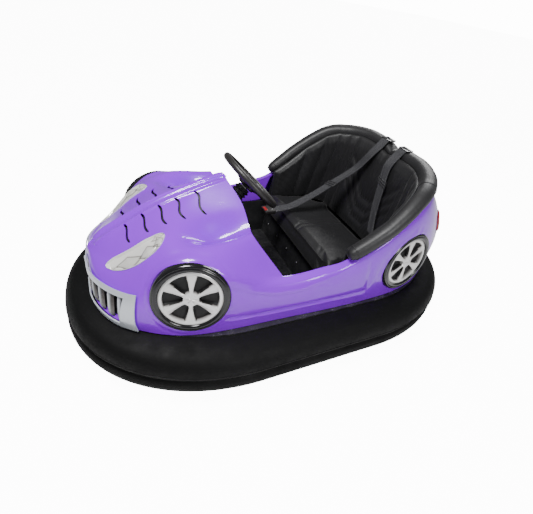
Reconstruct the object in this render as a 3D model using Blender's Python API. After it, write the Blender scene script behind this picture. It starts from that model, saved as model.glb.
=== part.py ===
# Two-seat battery bumper car, built as an assembly.
# Metres. +Z up, the nose points to -Y, +X is the car's left side, floor at z = 0.
import math

import bmesh
import bpy
from mathutils import Matrix, Vector

for old in list(bpy.data.objects):
    bpy.data.objects.remove(old, do_unlink=True)

# ---------------------------------------------------------------- driving sizes
BUMPER_LENGTH = 1.945
BUMPER_WIDTH = 1.145
BODY_LENGTH = 1.712
BODY_WIDTH = 0.860
BODY_BASE_Z = 0.256
BODY_RISE = 1.0
DOOR_RETURN_Z = 0.341
SKIN = 0.004
SEAT_GAP = 0.0003
RUN_GAP = 0.006

BUMPER_STRAIGHT = 0.275
BUMPER_ROUND = 2.15
RUBBER_DEPTH = 0.128
BAND_THICK = 0.006
BAND_LOW_Z = 0.085
BAND_FLANGE = 0.050

PLATE_Z = 0.125
PLATE_THICK = 0.006

DRIVE_Y = -0.560
DRIVE_RADIUS = 0.092
DRIVE_WIDTH = 0.050
SWIVEL_OPENING = 0.178
FORK_ARM = 0.010
KINGPIN_RADIUS = 0.020
BRIDGE_RUN = 0.0065

REAR_Y = 0.560
REAR_X = 0.285
REAR_RADIUS = 0.100
REAR_WIDTH = 0.045
AXLE_RADIUS = 0.015

COLUMN_TILT = math.radians(47.0)
STEER_CENTRE = Vector((0.0, -0.193, 0.671))
STEER_RADIUS = 0.153
GRIP_RADIUS = 0.0145
SHAFT_RADIUS = 0.014

TUB_HALF_W = 0.372
TUB_WALL = 0.005
SHELF_Z = 0.300
CUSHION_TOP_Z = 0.405
PAD_THICK = 0.026
RIM_HALF_H = 0.034
RIM_HALF_W = 0.035

DISC_RADIUS = 0.143
DISC_RIM_RADIUS = 0.114
DISC_PROUD = 0.012
DISC_DEPTH = 0.030

SX = BODY_WIDTH / 0.860
SY = BODY_LENGTH / 1.712
SZ = BODY_RISE


# ---------------------------------------------------------------- small helpers
def paint(name, rgb, metallic=0.0, rough=0.5):
    mat = bpy.data.materials.new(name)
    mat.use_nodes = True
    shader = mat.node_tree.nodes["Principled BSDF"]
    shader.inputs["Base Color"].default_value = (rgb[0], rgb[1], rgb[2], 1.0)
    shader.inputs["Metallic"].default_value = metallic
    shader.inputs["Roughness"].default_value = rough
    mat.diffuse_color = (rgb[0], rgb[1], rgb[2], 1.0)
    return mat


VIOLET = (0.32, 0.10, 0.80)
BLACK = (0.02, 0.02, 0.02)
SOOT = (0.04, 0.04, 0.045)
SILVER = (0.75, 0.75, 0.77)
STEEL = (0.35, 0.36, 0.38)
RED = (0.7, 0.02, 0.03)


def publish(name, mesh_bm, rgb, metallic=0.0, rough=0.5, smooth=True, pivot=(0, 0, 0)):
    bmesh.ops.remove_doubles(mesh_bm, verts=mesh_bm.verts, dist=1e-6)
    bmesh.ops.recalc_face_normals(mesh_bm, faces=mesh_bm.faces)
    shift = Vector(pivot)
    bmesh.ops.translate(mesh_bm, verts=mesh_bm.verts, vec=-shift)
    mesh = bpy.data.meshes.new(name)
    mesh_bm.to_mesh(mesh)
    mesh_bm.free()
    for poly in mesh.polygons:
        poly.use_smooth = smooth
    obj = bpy.data.objects.new(name, mesh)
    obj.location = shift
    obj.data.materials.append(paint(name, rgb, metallic, rough))
    bpy.context.scene.collection.objects.link(obj)
    return obj


def cut(obj, cutter_bm, name):
    bmesh.ops.remove_doubles(cutter_bm, verts=cutter_bm.verts, dist=1e-6)
    bmesh.ops.recalc_face_normals(cutter_bm, faces=cutter_bm.faces)
    mesh = bpy.data.meshes.new(name)
    cutter_bm.to_mesh(mesh)
    cutter_bm.free()
    cutter = bpy.data.objects.new(name, mesh)
    bpy.context.scene.collection.objects.link(cutter)
    cutter.hide_render = True
    cutter.display_type = "WIRE"
    mod = obj.modifiers.new("opening", "BOOLEAN")
    mod.operation = "DIFFERENCE"
    mod.solver = "EXACT"
    mod.object = cutter
    return cutter


def skin_rows(bm, rows, close_rows=False, close_cols=False):
    """Quads between equal-length rows of points."""
    grid = [[bm.verts.new(p) for p in row] for row in rows]
    count = len(grid)
    width = len(grid[0])
    for i in range(count if close_rows else count - 1):
        for j in range(width if close_cols else width - 1):
            a = grid[i][j]
            b = grid[i][(j + 1) % width]
            c = grid[(i + 1) % count][(j + 1) % width]
            d = grid[(i + 1) % count][j]
            bm.faces.new((a, b, c, d))
    return grid


def slab(rows_outer, rows_inner):
    """Closed sheet of real thickness between two matching grids of points."""
    bm = bmesh.new()
    top = skin_rows(bm, rows_outer)
    low = skin_rows(bm, rows_inner)
    n = len(top)
    m = len(top[0])
    for j in range(m - 1):
        bm.faces.new((top[0][j], top[0][j + 1], low[0][j + 1], low[0][j]))
        bm.faces.new((top[n - 1][j], top[n - 1][j + 1], low[n - 1][j + 1], low[n - 1][j]))
    for i in range(n - 1):
        bm.faces.new((top[i][0], top[i + 1][0], low[i + 1][0], low[i][0]))
        bm.faces.new((top[i][m - 1], top[i + 1][m - 1], low[i + 1][m - 1], low[i][m - 1]))
    return bm


def prism(points, place, low, high):
    """Straight prism; place(u, v, w) turns flat points and a height into a position."""
    bm = bmesh.new()
    a = [bm.verts.new(place(u, v, low)) for u, v in points]
    b = [bm.verts.new(place(u, v, high)) for u, v in points]
    bm.faces.new(a)
    bm.faces.new(b)
    for i in range(len(a)):
        j = (i + 1) % len(a)
        bm.faces.new((a[i], a[j], b[j], b[i]))
    return bm


def box(low, high):
    pts = [(low[0], low[1]), (high[0], low[1]), (high[0], high[1]), (low[0], high[1])]
    return prism(pts, lambda u, v, w: (u, v, w), low[2], high[2])


def turned(profile, frame, segments=32):
    """Solid of revolution; profile is a closed list of (radius, height) pairs."""
    bm = bmesh.new()
    rows = []
    for k in range(segments):
        ang = 2.0 * math.pi * k / segments
        ring = []
        for radius, height in profile:
            ring.append(frame @ Vector((radius * math.cos(ang), radius * math.sin(ang), height)))
        rows.append(ring)
    skin_rows(bm, rows, close_rows=True, close_cols=True)
    return bm


def drum(radius, low, high, frame, segments=32):
    bm = bmesh.new()
    ends = []
    for height in (low, high):
        ring = []
        for k in range(segments):
            ang = 2.0 * math.pi * k / segments
            spot = Vector((radius * math.cos(ang), radius * math.sin(ang), height))
            ring.append(bm.verts.new(frame @ spot))
        bm.faces.new(ring)
        ends.append(ring)
    for k in range(segments):
        j = (k + 1) % segments
        bm.faces.new((ends[0][k], ends[0][j], ends[1][j], ends[1][k]))
    return bm


def aim(origin, axis, side=(0, 0, 1)):
    """Frame at origin whose local Z runs along axis."""
    z = Vector(axis).normalized()
    x = Vector(side).cross(z)
    if x.length < 1e-6:
        x = Vector((1, 0, 0))
    x.normalize()
    y = z.cross(x)
    turn = Matrix((x, y, z)).transposed().to_4x4()
    return Matrix.Translation(Vector(origin)) @ turn


def blend(points, t):
    """Smooth curve through the points, one unit of t per span."""
    last = len(points) - 1
    k = min(int(t), last - 1)
    f = t - k
    p1 = points[k]
    p2 = points[k + 1]
    p0 = points[k - 1] if k > 0 else tuple(2 * a - b for a, b in zip(p1, p2))
    p3 = points[k + 2] if k + 2 <= last else tuple(2 * a - b for a, b in zip(p2, p1))
    out = []
    for a, b, c, d in zip(p0, p1, p2, p3):
        m1 = 0.5 * (c - a)
        m2 = 0.5 * (d - b)
        f2 = f * f
        f3 = f2 * f
        out.append((2 * f3 - 3 * f2 + 1) * b + (f3 - 2 * f2 + f) * m1
                   + (3 * f2 - 2 * f3) * c + (f3 - f2) * m2)
    return tuple(out)


def settle(points, t):
    """Curve through the points that never swings past them."""
    last = len(points) - 1
    k = min(int(t), last - 1)
    f = t - k
    out = []
    for axis in range(3):
        run = [p[axis] for p in points]
        steps = [b - a for a, b in zip(run[:-1], run[1:])]

        def slope(i):
            if i == 0:
                return steps[0]
            if i == last:
                return steps[-1]
            if steps[i - 1] * steps[i] <= 0:
                return 0.0
            return 2 * steps[i - 1] * steps[i] / (steps[i - 1] + steps[i])

        f2 = f * f
        f3 = f2 * f
        out.append((2 * f3 - 3 * f2 + 1) * run[k] + (f3 - 2 * f2 + f) * slope(k)
                   + (3 * f2 - 2 * f3) * run[k + 1] + (f3 - f2) * slope(k + 1))
    return tuple(out)


# ---------------------------------------------------------------- body moulding lines
# Left half of the skin, millimetres above the base of the moulding. Each line runs
# from the bonnet ridge (or the cockpit edge) down to the base; the lines step from
# the nose to the tail. Columns: centre, ridge, bonnet side, valley, wing crest,
# shoulder, upper side, mid side, low side, base.
NOSE_LINES = [
    [(0, -828, 204), (0, -833, 200), (0, -842, 191), (0, -848, 181), (0, -851, 172),
     (0, -853, 156), (0, -856, 119), (0, -857, 79), (0, -857, 41), (0, -853, 0)],
    [(0, -772, 238), (30, -773, 238), (66, -785, 212), (88, -800, 191), (105, -818, 174),
     (118, -832, 154), (127, -843, 119), (131, -848, 79), (134, -850, 41), (135, -846, 0)],
    [(0, -700, 281), (30, -700, 281), (115, -706, 254), (163, -720, 229), (198, -737, 198),
     (222, -757, 159), (238, -777, 119), (245, -790, 79), (249, -797, 41), (250, -793, 0)],
    [(0, -630, 322), (30, -630, 322), (125, -636, 299), (203, -645, 287), (258, -655, 256),
     (305, -670, 196), (319, -686, 146), (327, -699, 95), (330, -706, 44), (328, -703, 0)],
    [(0, -550, 361), (30, -550, 361), (128, -552, 337), (207, -556, 322), (288, -560, 309),
     (343, -566, 284), (358, -572, 210), (371, -577, 135), (383, -580, 65), (386, -580, 0)],
    [(0, -405, 415), (30, -405, 415), (130, -408, 352), (207, -410, 277), (290, -415, 326),
     (378, -420, 266), (398, -424, 190), (408, -428, 124), (412, -430, 62), (411, -430, 0)],
    [(0, -302, 442), (30, -312, 444), (130, -280, 390), (213, -272, 330), (281, -276, 324),
     (366, -175, 190), (398, -168, 176), (417, -160, 120), (422, -155, 60), (420, -150, 0)],
]
SIDE_LINES = [
    [(374, 0, 206), (404, 0, 200), (424, 0, 140), (429, 0, 70), (426, 0, 0)],
    [(384, 110, 236), (411, 110, 232), (428, 115, 160), (432, 118, 80), (428, 120, 0)],
    [(388, 265, 342), (421, 266, 338), (433, 270, 236), (434, 270, 120), (427, 270, 0)],
    [(348, 402, 443), (382, 420, 439), (410, 434, 306), (419, 444, 150), (413, 450, 0)],
    [(280, 482, 468), (313, 518, 464), (352, 586, 326), (367, 616, 160), (365, 620, 0)],
    [(185, 524, 483), (214, 576, 478), (252, 702, 336), (266, 770, 165), (264, 782, 0)],
    [(92, 532, 483), (107, 596, 478), (126, 746, 336), (133, 828, 165), (133, 845, 0)],
    [(0, 534, 480), (0, 600, 476), (0, 756, 336), (0, 842, 165), (0, 856, 0)],
]
COWL = len(NOSE_LINES) - 1
TAIL = COWL + len(SIDE_LINES)
SHOULDER = 5


def place_mm(p):
    return (p[0] * 0.001 * SX, p[1] * 0.001 * SY, BODY_BASE_Z + p[2] * 0.001 * SZ)


def skin_point(t, s):
    """Point of the outer skin: t counts lines from nose to tail, s counts columns."""
    along = []
    for col in range(10):
        if col < SHOULDER:
            run = [line[col] for line in NOSE_LINES]
            along.append(blend(run, min(t, COWL)))
        else:
            run = [line[col] for line in NOSE_LINES]
            run += [line[col - SHOULDER] for line in SIDE_LINES]
            along.append(blend(run, t))
    if t > COWL:
        x, y, z = settle(along[SHOULDER:], max(s - SHOULDER, 0.0))
    else:
        x, y, z = blend(along, s)
    return Vector(place_mm((max(x, 0.0), y, z)))


def skin_normal(t, s):
    e = 0.02
    t0 = max(t - e, 0.0)
    t1 = min(t + e, TAIL - 1e-6)
    s_low = SHOULDER if t > COWL else 0.0
    s0 = max(s - e, s_low)
    s1 = min(s + e, 9 - 1e-6)
    du = skin_point(t1, s) - skin_point(t0, s)
    dv = skin_point(t, s1) - skin_point(t, s0)
    n = dv.cross(du)
    if n.length < 1e-12:
        n = Vector((0, -1 if t < COWL else 1, 0.3))
    n.normalize()
    return n


FRONT_T = [
    0.0, 0.35, 0.7, 1.0, 1.35, 1.7, 2.0, 2.35, 2.7, 3.0, 3.35, 3.7, 4.0, 4.35, 4.7, 5.0, 5.35, 5.7, 6.0,
]
SIDE_T = [
    6.33, 6.67, 7.0, 7.5, 8.0, 8.5, 9.0, 9.5, 10.0, 10.5, 11.0, 11.5, 12.0, 12.5, 13.0, 13.5, 14.0,
]
TOP_S = [0.0, 1.0, 1.5, 2.0, 2.5, 3.0, 3.5, 4.0, 4.5]
RETURN_S = 4.9
LOW_S = [5.0, 5.5, 6.0, 6.5, 7.0, 7.5, 8.0, 8.5, 9.0]
SIDE_T[-1] = TAIL - 1e-6


def sill_return(t):
    """Height of the lower edge of the inner lip below the cockpit edge."""
    door = DOOR_RETURN_Z
    edge = skin_point(t, 5.0).z
    if t < 7.75:
        return door + (0.02 if t < 6.5 else 0.0)
    return max(edge - 0.014, door)


def body_points(lift, fold):
    """Half skin as {(station, column): point}; the base and cockpit edge carry a return lip."""
    pts = {}
    for i, t in enumerate(FRONT_T + SIDE_T):
        cols = (TOP_S + LOW_S) if t <= COWL else [RETURN_S] + LOW_S
        for s in cols:
            if s == RETURN_S:
                top = skin_point(t, 5.0)
                way = skin_point(t, 6.0) - top
                way.z = 0.0
                if t > TAIL - 0.01:
                    way.x = 0.0
                way.normalize()
                p = Vector((top.x, top.y, sill_return(t))) + way * lift
                if abs(p.x) < 1e-4:
                    p.x = 0.0
                pts[(i, s)] = p
                continue
            n = skin_normal(t, s)
            if i == 0 or i == len(FRONT_T + SIDE_T) - 1:
                n.x = 0.0
                n.normalize()
            if s == 0.0:
                n.x = 0.0
                n.normalize()
            if s == 5.0 and t > COWL and lift > 0:
                way = skin_point(t, 6.0) - skin_point(t, 5.0)
                way.z = 0.0
                if t > TAIL - 0.01:
                    way.x = 0.0
                way.normalize()
                p = skin_point(t, s) + way * lift - Vector((0, 0, lift))
                if abs(p.x) < 1e-4:
                    p.x = 0.0
                pts[(i, s)] = p
                continue
            p = skin_point(t, s) - n * lift
            if s == 9.0:
                p.z = BODY_BASE_Z + fold
            pts[(i, s)] = p
    return pts


def body_shell():
    bm = bmesh.new()
    stations = FRONT_T + SIDE_T
    layers = []
    for lift, fold in ((0.0, 0.0), (SKIN, 0.0)):
        half = body_points(lift, fold)
        left = {}
        right = {}
        for key, p in half.items():
            left[key] = bm.verts.new(p)
            on_axis = abs(p.x) < 1e-5
            right[key] = left[key] if on_axis else bm.verts.new((-p.x, p.y, p.z))
        layers.append((left, right))
    columns = TOP_S + LOW_S
    pairs = list(zip(columns[:-1], columns[1:])) + [(RETURN_S, 5.0)]
    for side in (0, 1):
        outer = layers[0][side]
        inner = layers[1][side]
        cells = {}
        for i in range(len(stations) - 1):
            for a, b in pairs:
                keys = ((i, a), (i, b), (i + 1, b), (i + 1, a))
                if all(k in outer for k in keys):
                    cells[(i, a)] = keys
        edges = {}
        for keys in cells.values():
            for layer in (outer, inner):
                ring = []
                for k in keys:
                    if layer[k] not in ring:
                        ring.append(layer[k])
                if len(ring) >= 3:
                    bm.faces.new(ring)
            for k0, k1 in zip(keys, keys[1:] + keys[:1]):
                edge = frozenset((k0, k1))
                edges[edge] = edges.get(edge, 0) + 1
        for edge, uses in edges.items():
            if uses != 1:
                continue
            k0, k1 = tuple(edge)
            on_seam = abs(outer[k0].co.x) < 1e-5 and abs(outer[k1].co.x) < 1e-5
            if on_seam:
                continue
            bm.faces.new((outer[k0], outer[k1], inner[k1], inner[k0]))
    return publish("body_shell", bm, VIOLET, 0.0, 0.15)


body = body_shell()


# ---------------------------------------------------------------- bumper, band and floor plate
def plan_loop(inset, count=64):
    """Closed plan curve of the bumper, moved inwards by inset, as (x, y) pairs."""
    half_w = BUMPER_WIDTH / 2
    half_l = BUMPER_LENGTH / 2
    power = 2.0 / BUMPER_ROUND

    def spot(k):
        ang = 2 * math.pi * k / count
        c = math.cos(ang)
        s = math.sin(ang)
        x = half_w * math.copysign(abs(c) ** power, c)
        reach = (half_l - BUMPER_STRAIGHT) * abs(s) ** power
        y = math.copysign(BUMPER_STRAIGHT + reach, s) if abs(s) > 1e-9 else 0.0
        return x, y

    pts = []
    for k in range(count):
        x, y = spot(k)
        x0, y0 = spot(k - 0.05)
        x1, y1 = spot(k + 0.05)
        dx = x1 - x0
        dy = y1 - y0
        size = math.hypot(dx, dy)
        pts.append((x - inset * dy / size, y + inset * dx / size))
    return pts


def loop_solid(profile, count=64):
    """Sweeps a closed (inset, z) profile around the plan curve."""
    rows = [plan_loop(inset, count) for inset, z in profile]
    bm = bmesh.new()
    around = []
    for k in range(count):
        around.append([(rows[j][k][0], rows[j][k][1], profile[j][1]) for j in range(len(profile))])
    skin_rows(bm, around, close_rows=True, close_cols=True)
    return bm


band_out = RUBBER_DEPTH + SEAT_GAP
band_in = band_out + BAND_THICK
flange_z = BODY_BASE_Z - SEAT_GAP
rubber_top = flange_z - BAND_THICK - SEAT_GAP
RUBBER_PROFILE = [
    (RUBBER_DEPTH, 0.075), (0.098, 0.062), (0.050, 0.058), (0.020, 0.065), (0.004, 0.083),
    (0.000, 0.103), (0.003, 0.122), (0.013, 0.133), (0.015, 0.141), (0.007, 0.150),
    (0.004, 0.168), (0.008, 0.192), (0.022, 0.217), (0.048, 0.236), (0.088, 0.246),
    (RUBBER_DEPTH, rubber_top),
]
rubber = publish("rubber_bumper", loop_solid(RUBBER_PROFILE), SOOT, 0.0, 0.75)

band_profile = [
    (band_out, BAND_LOW_Z), (band_out, flange_z), (band_out + BAND_FLANGE, flange_z),
    (band_out + BAND_FLANGE, flange_z - BAND_THICK), (band_in, flange_z - BAND_THICK),
    (band_in, BAND_LOW_Z),
]
band = publish("bumper_band", loop_solid(band_profile), STEEL, 0.8, 0.5, smooth=False)

plate_top = PLATE_Z + PLATE_THICK
plate_edge = plan_loop(band_in + SEAT_GAP)
plate_bm = prism(plate_edge, lambda u, v, w: (u, v, w), PLATE_Z, plate_top)
plate = publish("floor_plate", plate_bm, STEEL, 0.7, 0.55, smooth=False)
swivel_frame = Matrix.Translation((0, DRIVE_Y, 0))
cut(plate, drum(SWIVEL_OPENING, PLATE_Z - 0.01, plate_top + 0.01, swivel_frame, 32), "swivel_hole_cutter")
slot_x = REAR_WIDTH / 2 + 0.012
slot_y = REAR_RADIUS + 0.012
for side in (1, -1):
    low = (side * REAR_X - slot_x, REAR_Y - slot_y, PLATE_Z - 0.01)
    high = (side * REAR_X + slot_x, REAR_Y + slot_y, plate_top + 0.01)
    cut(plate, box(low, high), "wheel_slot_cutter")

# ---------------------------------------------------------------- rear axle and wheels
across = aim((0, REAR_Y, REAR_RADIUS), (1, 0, 0))
bracket_x = REAR_X - REAR_WIDTH / 2 - 0.014
axle_end = REAR_X + REAR_WIDTH / 2 + 0.006
collar = AXLE_RADIUS + 0.007
axle_profile = [
    (0.0, -axle_end - 0.008), (collar, -axle_end - 0.008), (collar, -axle_end),
    (AXLE_RADIUS, -axle_end), (AXLE_RADIUS, axle_end), (collar, axle_end),
    (collar, axle_end + 0.008), (0.0, axle_end + 0.008),
]


def solid_turned(profile, frame, segments=24):
    """Revolves an open profile whose two ends lie on the axis."""
    bm = bmesh.new()
    poles = [bm.verts.new(frame @ Vector((0, 0, profile[0][1])))]
    poles.append(bm.verts.new(frame @ Vector((0, 0, profile[-1][1]))))
    rings = []
    for radius, height in profile[1:-1]:
        ring = []
        for k in range(segments):
            ang = 2 * math.pi * k / segments
            spot = Vector((radius * math.cos(ang), radius * math.sin(ang), height))
            ring.append(bm.verts.new(frame @ spot))
        rings.append(ring)
    for k in range(segments):
        j = (k + 1) % segments
        bm.faces.new((poles[0], rings[0][k], rings[0][j]))
        bm.faces.new((poles[1], rings[-1][k], rings[-1][j]))
        for a, b in zip(rings[:-1], rings[1:]):
            bm.faces.new((a[k], a[j], b[j], b[k]))
    return bm


axle = publish("rear_axle", solid_turned(axle_profile, across, 20), STEEL, 0.9, 0.35)
bore = AXLE_RADIUS + SEAT_GAP
bore_run = AXLE_RADIUS + 0.0008
for side, word in ((1, "left"), (-1, "right")):
    x0 = side * bracket_x - 0.004
    hanger = box((x0, REAR_Y - 0.035, REAR_RADIUS - 0.024), (x0 + 0.008, REAR_Y + 0.035, PLATE_Z - SEAT_GAP))
    hanger_obj = publish("rear_" + word + "_hanger", hanger, STEEL, 0.7, 0.5, smooth=False)
    cut(hanger_obj, drum(bore, x0 - 0.01, x0 + 0.018, across, 20), "hanger_bore_cutter")
    spin = aim((side * REAR_X, REAR_Y, REAR_RADIUS), (1, 0, 0))
    pivot = (side * REAR_X, REAR_Y, REAR_RADIUS)
    hub_r = 0.058
    half = REAR_WIDTH / 2
    hub = [
        (bore_run, -half), (0.030, -half), (0.034, -half + 0.008), (hub_r, -half + 0.008),
        (hub_r, half - 0.008), (0.034, half - 0.008), (0.030, half), (bore_run, half),
    ]
    publish("rear_" + word + "_hub", turned(hub, spin, 28), SILVER, 0.8, 0.4, pivot=pivot)
    tyre_in = hub_r + SEAT_GAP
    tyre = [
        (tyre_in, -half), (REAR_RADIUS - 0.006, -half), (REAR_RADIUS, -half + 0.006),
        (REAR_RADIUS, half - 0.006), (REAR_RADIUS - 0.006, half), (tyre_in, half),
    ]
    publish("rear_" + word + "_tyre", turned(tyre, spin, 36), BLACK, 0.0, 0.7, pivot=pivot)

# ---------------------------------------------------------------- driven, steered front wheel
crown_low = DRIVE_RADIUS * 2 + 0.010
crown_high = crown_low + 0.010
pin_low = crown_high + SEAT_GAP
pin_flange = pin_low + 0.008
BRIDGE_TOP_Z = pin_flange + BRIDGE_RUN
drive_pivot = (0, DRIVE_Y, DRIVE_RADIUS)
swivel_pivot = (0, DRIVE_Y, BRIDGE_TOP_Z)
drive_frame = aim(drive_pivot, (1, 0, 0))
half = DRIVE_WIDTH / 2
stub = 0.012
hub_r = 0.056
hub = [
    (stub + 0.0008, -half - 0.003), (0.030, -half - 0.003), (0.034, -half + 0.006),
    (hub_r, -half + 0.006), (hub_r, half - 0.006), (0.034, half - 0.006),
    (0.030, half + 0.003), (stub + 0.0008, half + 0.003),
]
publish("drive_hub", turned(hub, drive_frame, 28), SILVER, 0.8, 0.4, pivot=drive_pivot)
tyre_in = hub_r + SEAT_GAP
tyre = [
    (tyre_in, -half), (DRIVE_RADIUS - 0.006, -half), (DRIVE_RADIUS, -half + 0.006),
    (DRIVE_RADIUS, half - 0.006), (DRIVE_RADIUS - 0.006, half), (tyre_in, half),
]
publish("drive_tyre", turned(tyre, drive_frame, 36), BLACK, 0.0, 0.7, pivot=drive_pivot)

arm_in = half + 0.003 + RUN_GAP
arm_out = arm_in + FORK_ARM
arm_half = 0.032
fork_outline = [
    (-arm_out, DRIVE_RADIUS - 0.03), (-arm_in, DRIVE_RADIUS - 0.03), (-arm_in, crown_low),
    (arm_in, crown_low), (arm_in, DRIVE_RADIUS - 0.03), (arm_out, DRIVE_RADIUS - 0.03),
    (arm_out, crown_high), (-arm_out, crown_high),
]
fork_bm = prism(fork_outline, lambda u, v, w: (u, DRIVE_Y + w, v), -arm_half, arm_half)
fork = publish("swivel_fork", fork_bm, STEEL, 0.7, 0.45, smooth=False, pivot=swivel_pivot)
cut(fork, drum(stub + SEAT_GAP, -arm_out - 0.01, arm_out + 0.01, drive_frame, 20), "fork_bore_cutter")
stub_profile = [
    (0.0, -arm_out - 0.007), (0.019, -arm_out - 0.007), (0.019, -arm_out - SEAT_GAP),
    (stub, -arm_out - SEAT_GAP), (stub, arm_out + 0.001), (0.0, arm_out + 0.001),
]
publish("drive_spindle", solid_turned(stub_profile, drive_frame, 20), STEEL, 0.9, 0.35, pivot=swivel_pivot)
motor_in = arm_out + 0.001 + SEAT_GAP
motor_profile = [
    (0.0, motor_in), (0.046, motor_in), (0.052, motor_in + 0.008), (0.052, motor_in + 0.082),
    (0.044, motor_in + 0.095), (0.0, motor_in + 0.095),
]
publish("drive_motor", solid_turned(motor_profile, drive_frame, 28), SOOT, 0.5, 0.5, pivot=swivel_pivot)
gearbox_low = BRIDGE_TOP_Z + 0.018
pin_profile = [
    (0.0, pin_low), (0.034, pin_low), (0.034, pin_flange), (KINGPIN_RADIUS, pin_flange),
    (KINGPIN_RADIUS, gearbox_low - 0.002), (0.0, gearbox_low - 0.002),
]
publish("kingpin", solid_turned(pin_profile, swivel_frame, 24), STEEL, 0.9, 0.35, pivot=swivel_pivot)

bridge_x = SWIVEL_OPENING + 0.018
bridge_thick = 0.008
foot = 0.030
bt = bridge_thick
floor_rest = plate_top + SEAT_GAP
bridge_outline = [
    (-bridge_x - foot, floor_rest), (-bridge_x + bt, floor_rest), (-bridge_x + bt, BRIDGE_TOP_Z),
    (bridge_x - bt, BRIDGE_TOP_Z), (bridge_x - bt, floor_rest), (bridge_x + foot, floor_rest),
    (bridge_x + foot, floor_rest + bt), (bridge_x, floor_rest + bt), (bridge_x, BRIDGE_TOP_Z + bt),
    (-bridge_x, BRIDGE_TOP_Z + bt), (-bridge_x, floor_rest + bt), (-bridge_x - foot, floor_rest + bt),
]
bridge_bm = prism(bridge_outline, lambda u, v, w: (u, DRIVE_Y + w, v), -0.05, 0.05)
bridge = publish("swivel_bridge", bridge_bm, STEEL, 0.7, 0.5, smooth=False)
cut(bridge, drum(KINGPIN_RADIUS + 0.0008, BRIDGE_TOP_Z - 0.01, BRIDGE_TOP_Z + 0.02, swivel_frame, 24),
    "bridge_bore_cutter")

# ---------------------------------------------------------------- steering column
column_dir = Vector((0, math.cos(COLUMN_TILT), math.sin(COLUMN_TILT)))
drop = (DRIVE_Y - STEER_CENTRE.y) / column_dir.y
joint_z = STEER_CENTRE.z + drop * column_dir.z
gear_low = gearbox_low
column_frame = aim(STEER_CENTRE, column_dir)
reach = -drop
gearbox_bm = box((-0.048, DRIVE_Y - 0.05, gear_low), (0.048, DRIVE_Y + 0.05, joint_z + 0.040))
gearbox = publish("steering_gearbox", gearbox_bm, SOOT, 0.6, 0.5, smooth=False)
pad_low = BRIDGE_TOP_Z + bt + SEAT_GAP
spacer = [
    (0.026, pad_low), (0.044, pad_low), (0.044, gear_low - SEAT_GAP), (0.026, gear_low - SEAT_GAP),
]
publish("gearbox_spacer", turned(spacer, swivel_frame, 24), STEEL, 0.7, 0.5)
shaft_low = -reach + 0.034
cut(gearbox, drum(SHAFT_RADIUS + 0.001, shaft_low - 0.004, -reach + 0.2, column_frame, 20),
    "gearbox_bore_cutter")
hub_low = -0.034
shaft_high = hub_low - SEAT_GAP
shaft_profile = [
    (0.0, shaft_low), (SHAFT_RADIUS, shaft_low), (SHAFT_RADIUS, shaft_high), (0.0, shaft_high),
]
publish("steering_shaft", solid_turned(shaft_profile, column_frame, 20), STEEL, 0.9, 0.3,
        pivot=STEER_CENTRE)

hub_plate = 0.042
rim_mid = STEER_RADIUS - GRIP_RADIUS
spoke_half = 0.020
spoke_thick = 0.010


def steering_wheel():
    """Rim, three flat spokes and hub made as one body on the column axis."""
    bm = bmesh.new()
    segs = 48
    tube = 10
    inner_faces = {}
    rings = []
    for k in range(segs):
        ang = 2 * math.pi * k / segs
        ring = []
        for j in range(tube):
            phi = 2 * math.pi * (j + 0.5) / tube
            radius = rim_mid + GRIP_RADIUS * math.cos(phi)
            height = GRIP_RADIUS * math.sin(phi)
            spot = Vector((radius * math.cos(ang), radius * math.sin(ang), height))
            ring.append(bm.verts.new(column_frame @ spot))
        rings.append(ring)
    for k in range(segs):
        n = (k + 1) % segs
        for j in range(tube):
            m = (j + 1) % tube
            face = bm.faces.new((rings[k][j], rings[k][m], rings[n][m], rings[n][j]))
            if j == 4:
                inner_faces[k] = face
    hub_segs = 24
    hub_high = -0.004
    low = []
    high = []
    for k in range(hub_segs):
        ang = 2 * math.pi * k / hub_segs
        spot = Vector((hub_plate * math.cos(ang), hub_plate * math.sin(ang), hub_low))
        low.append(bm.verts.new(column_frame @ spot))
        spot.z = hub_high
        high.append(bm.verts.new(column_frame @ spot))
    bm.faces.new(low)
    bm.faces.new(high)
    hub_faces = []
    for k in range(hub_segs):
        n = (k + 1) % hub_segs
        hub_faces.append(bm.faces.new((low[k], low[n], high[n], high[k])))
    for third in range(3):
        rim_k = (3 + third * 16) % segs
        hub_k = (2 + third * 8) % hub_segs
        pair = [inner_faces[rim_k], inner_faces[(rim_k + 1) % segs]]
        hub_pair = [hub_faces[hub_k - 1], hub_faces[hub_k]]
        rim_geo = bmesh.ops.dissolve_faces(bm, faces=pair)["region"]
        hub_geo = bmesh.ops.dissolve_faces(bm, faces=hub_pair)["region"]
        edges = list(rim_geo[0].edges) + list(hub_geo[0].edges)
        bmesh.ops.delete(bm, geom=rim_geo + hub_geo, context="FACES_ONLY")
        bmesh.ops.bridge_loops(bm, edges=edges)
    return publish("steering_wheel", bm, BLACK, 0.0, 0.4, pivot=STEER_CENTRE)


steering_wheel()

# ---------------------------------------------------------------- cockpit liner and dash
tub_floor = plate_top + SEAT_GAP
toe_y = DRIVE_Y + SWIVEL_OPENING + 0.012
riser_y = 0.100
shelf_back_y = 0.500
DOOR_LINER_Z = 0.338
TUB_OUTLINE = [
    (toe_y - 0.02, 0.430), (toe_y - 0.02, 0.190), (toe_y + 0.03, tub_floor), (riser_y, tub_floor),
    (riser_y + 0.015, SHELF_Z), (shelf_back_y, SHELF_Z), (shelf_back_y + 0.004, 0.430),
    (0.270, 0.486), (0.118, 0.478), (0.100, DOOR_LINER_Z), (-0.150, DOOR_LINER_Z), (-0.200, 0.400),
]


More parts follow.
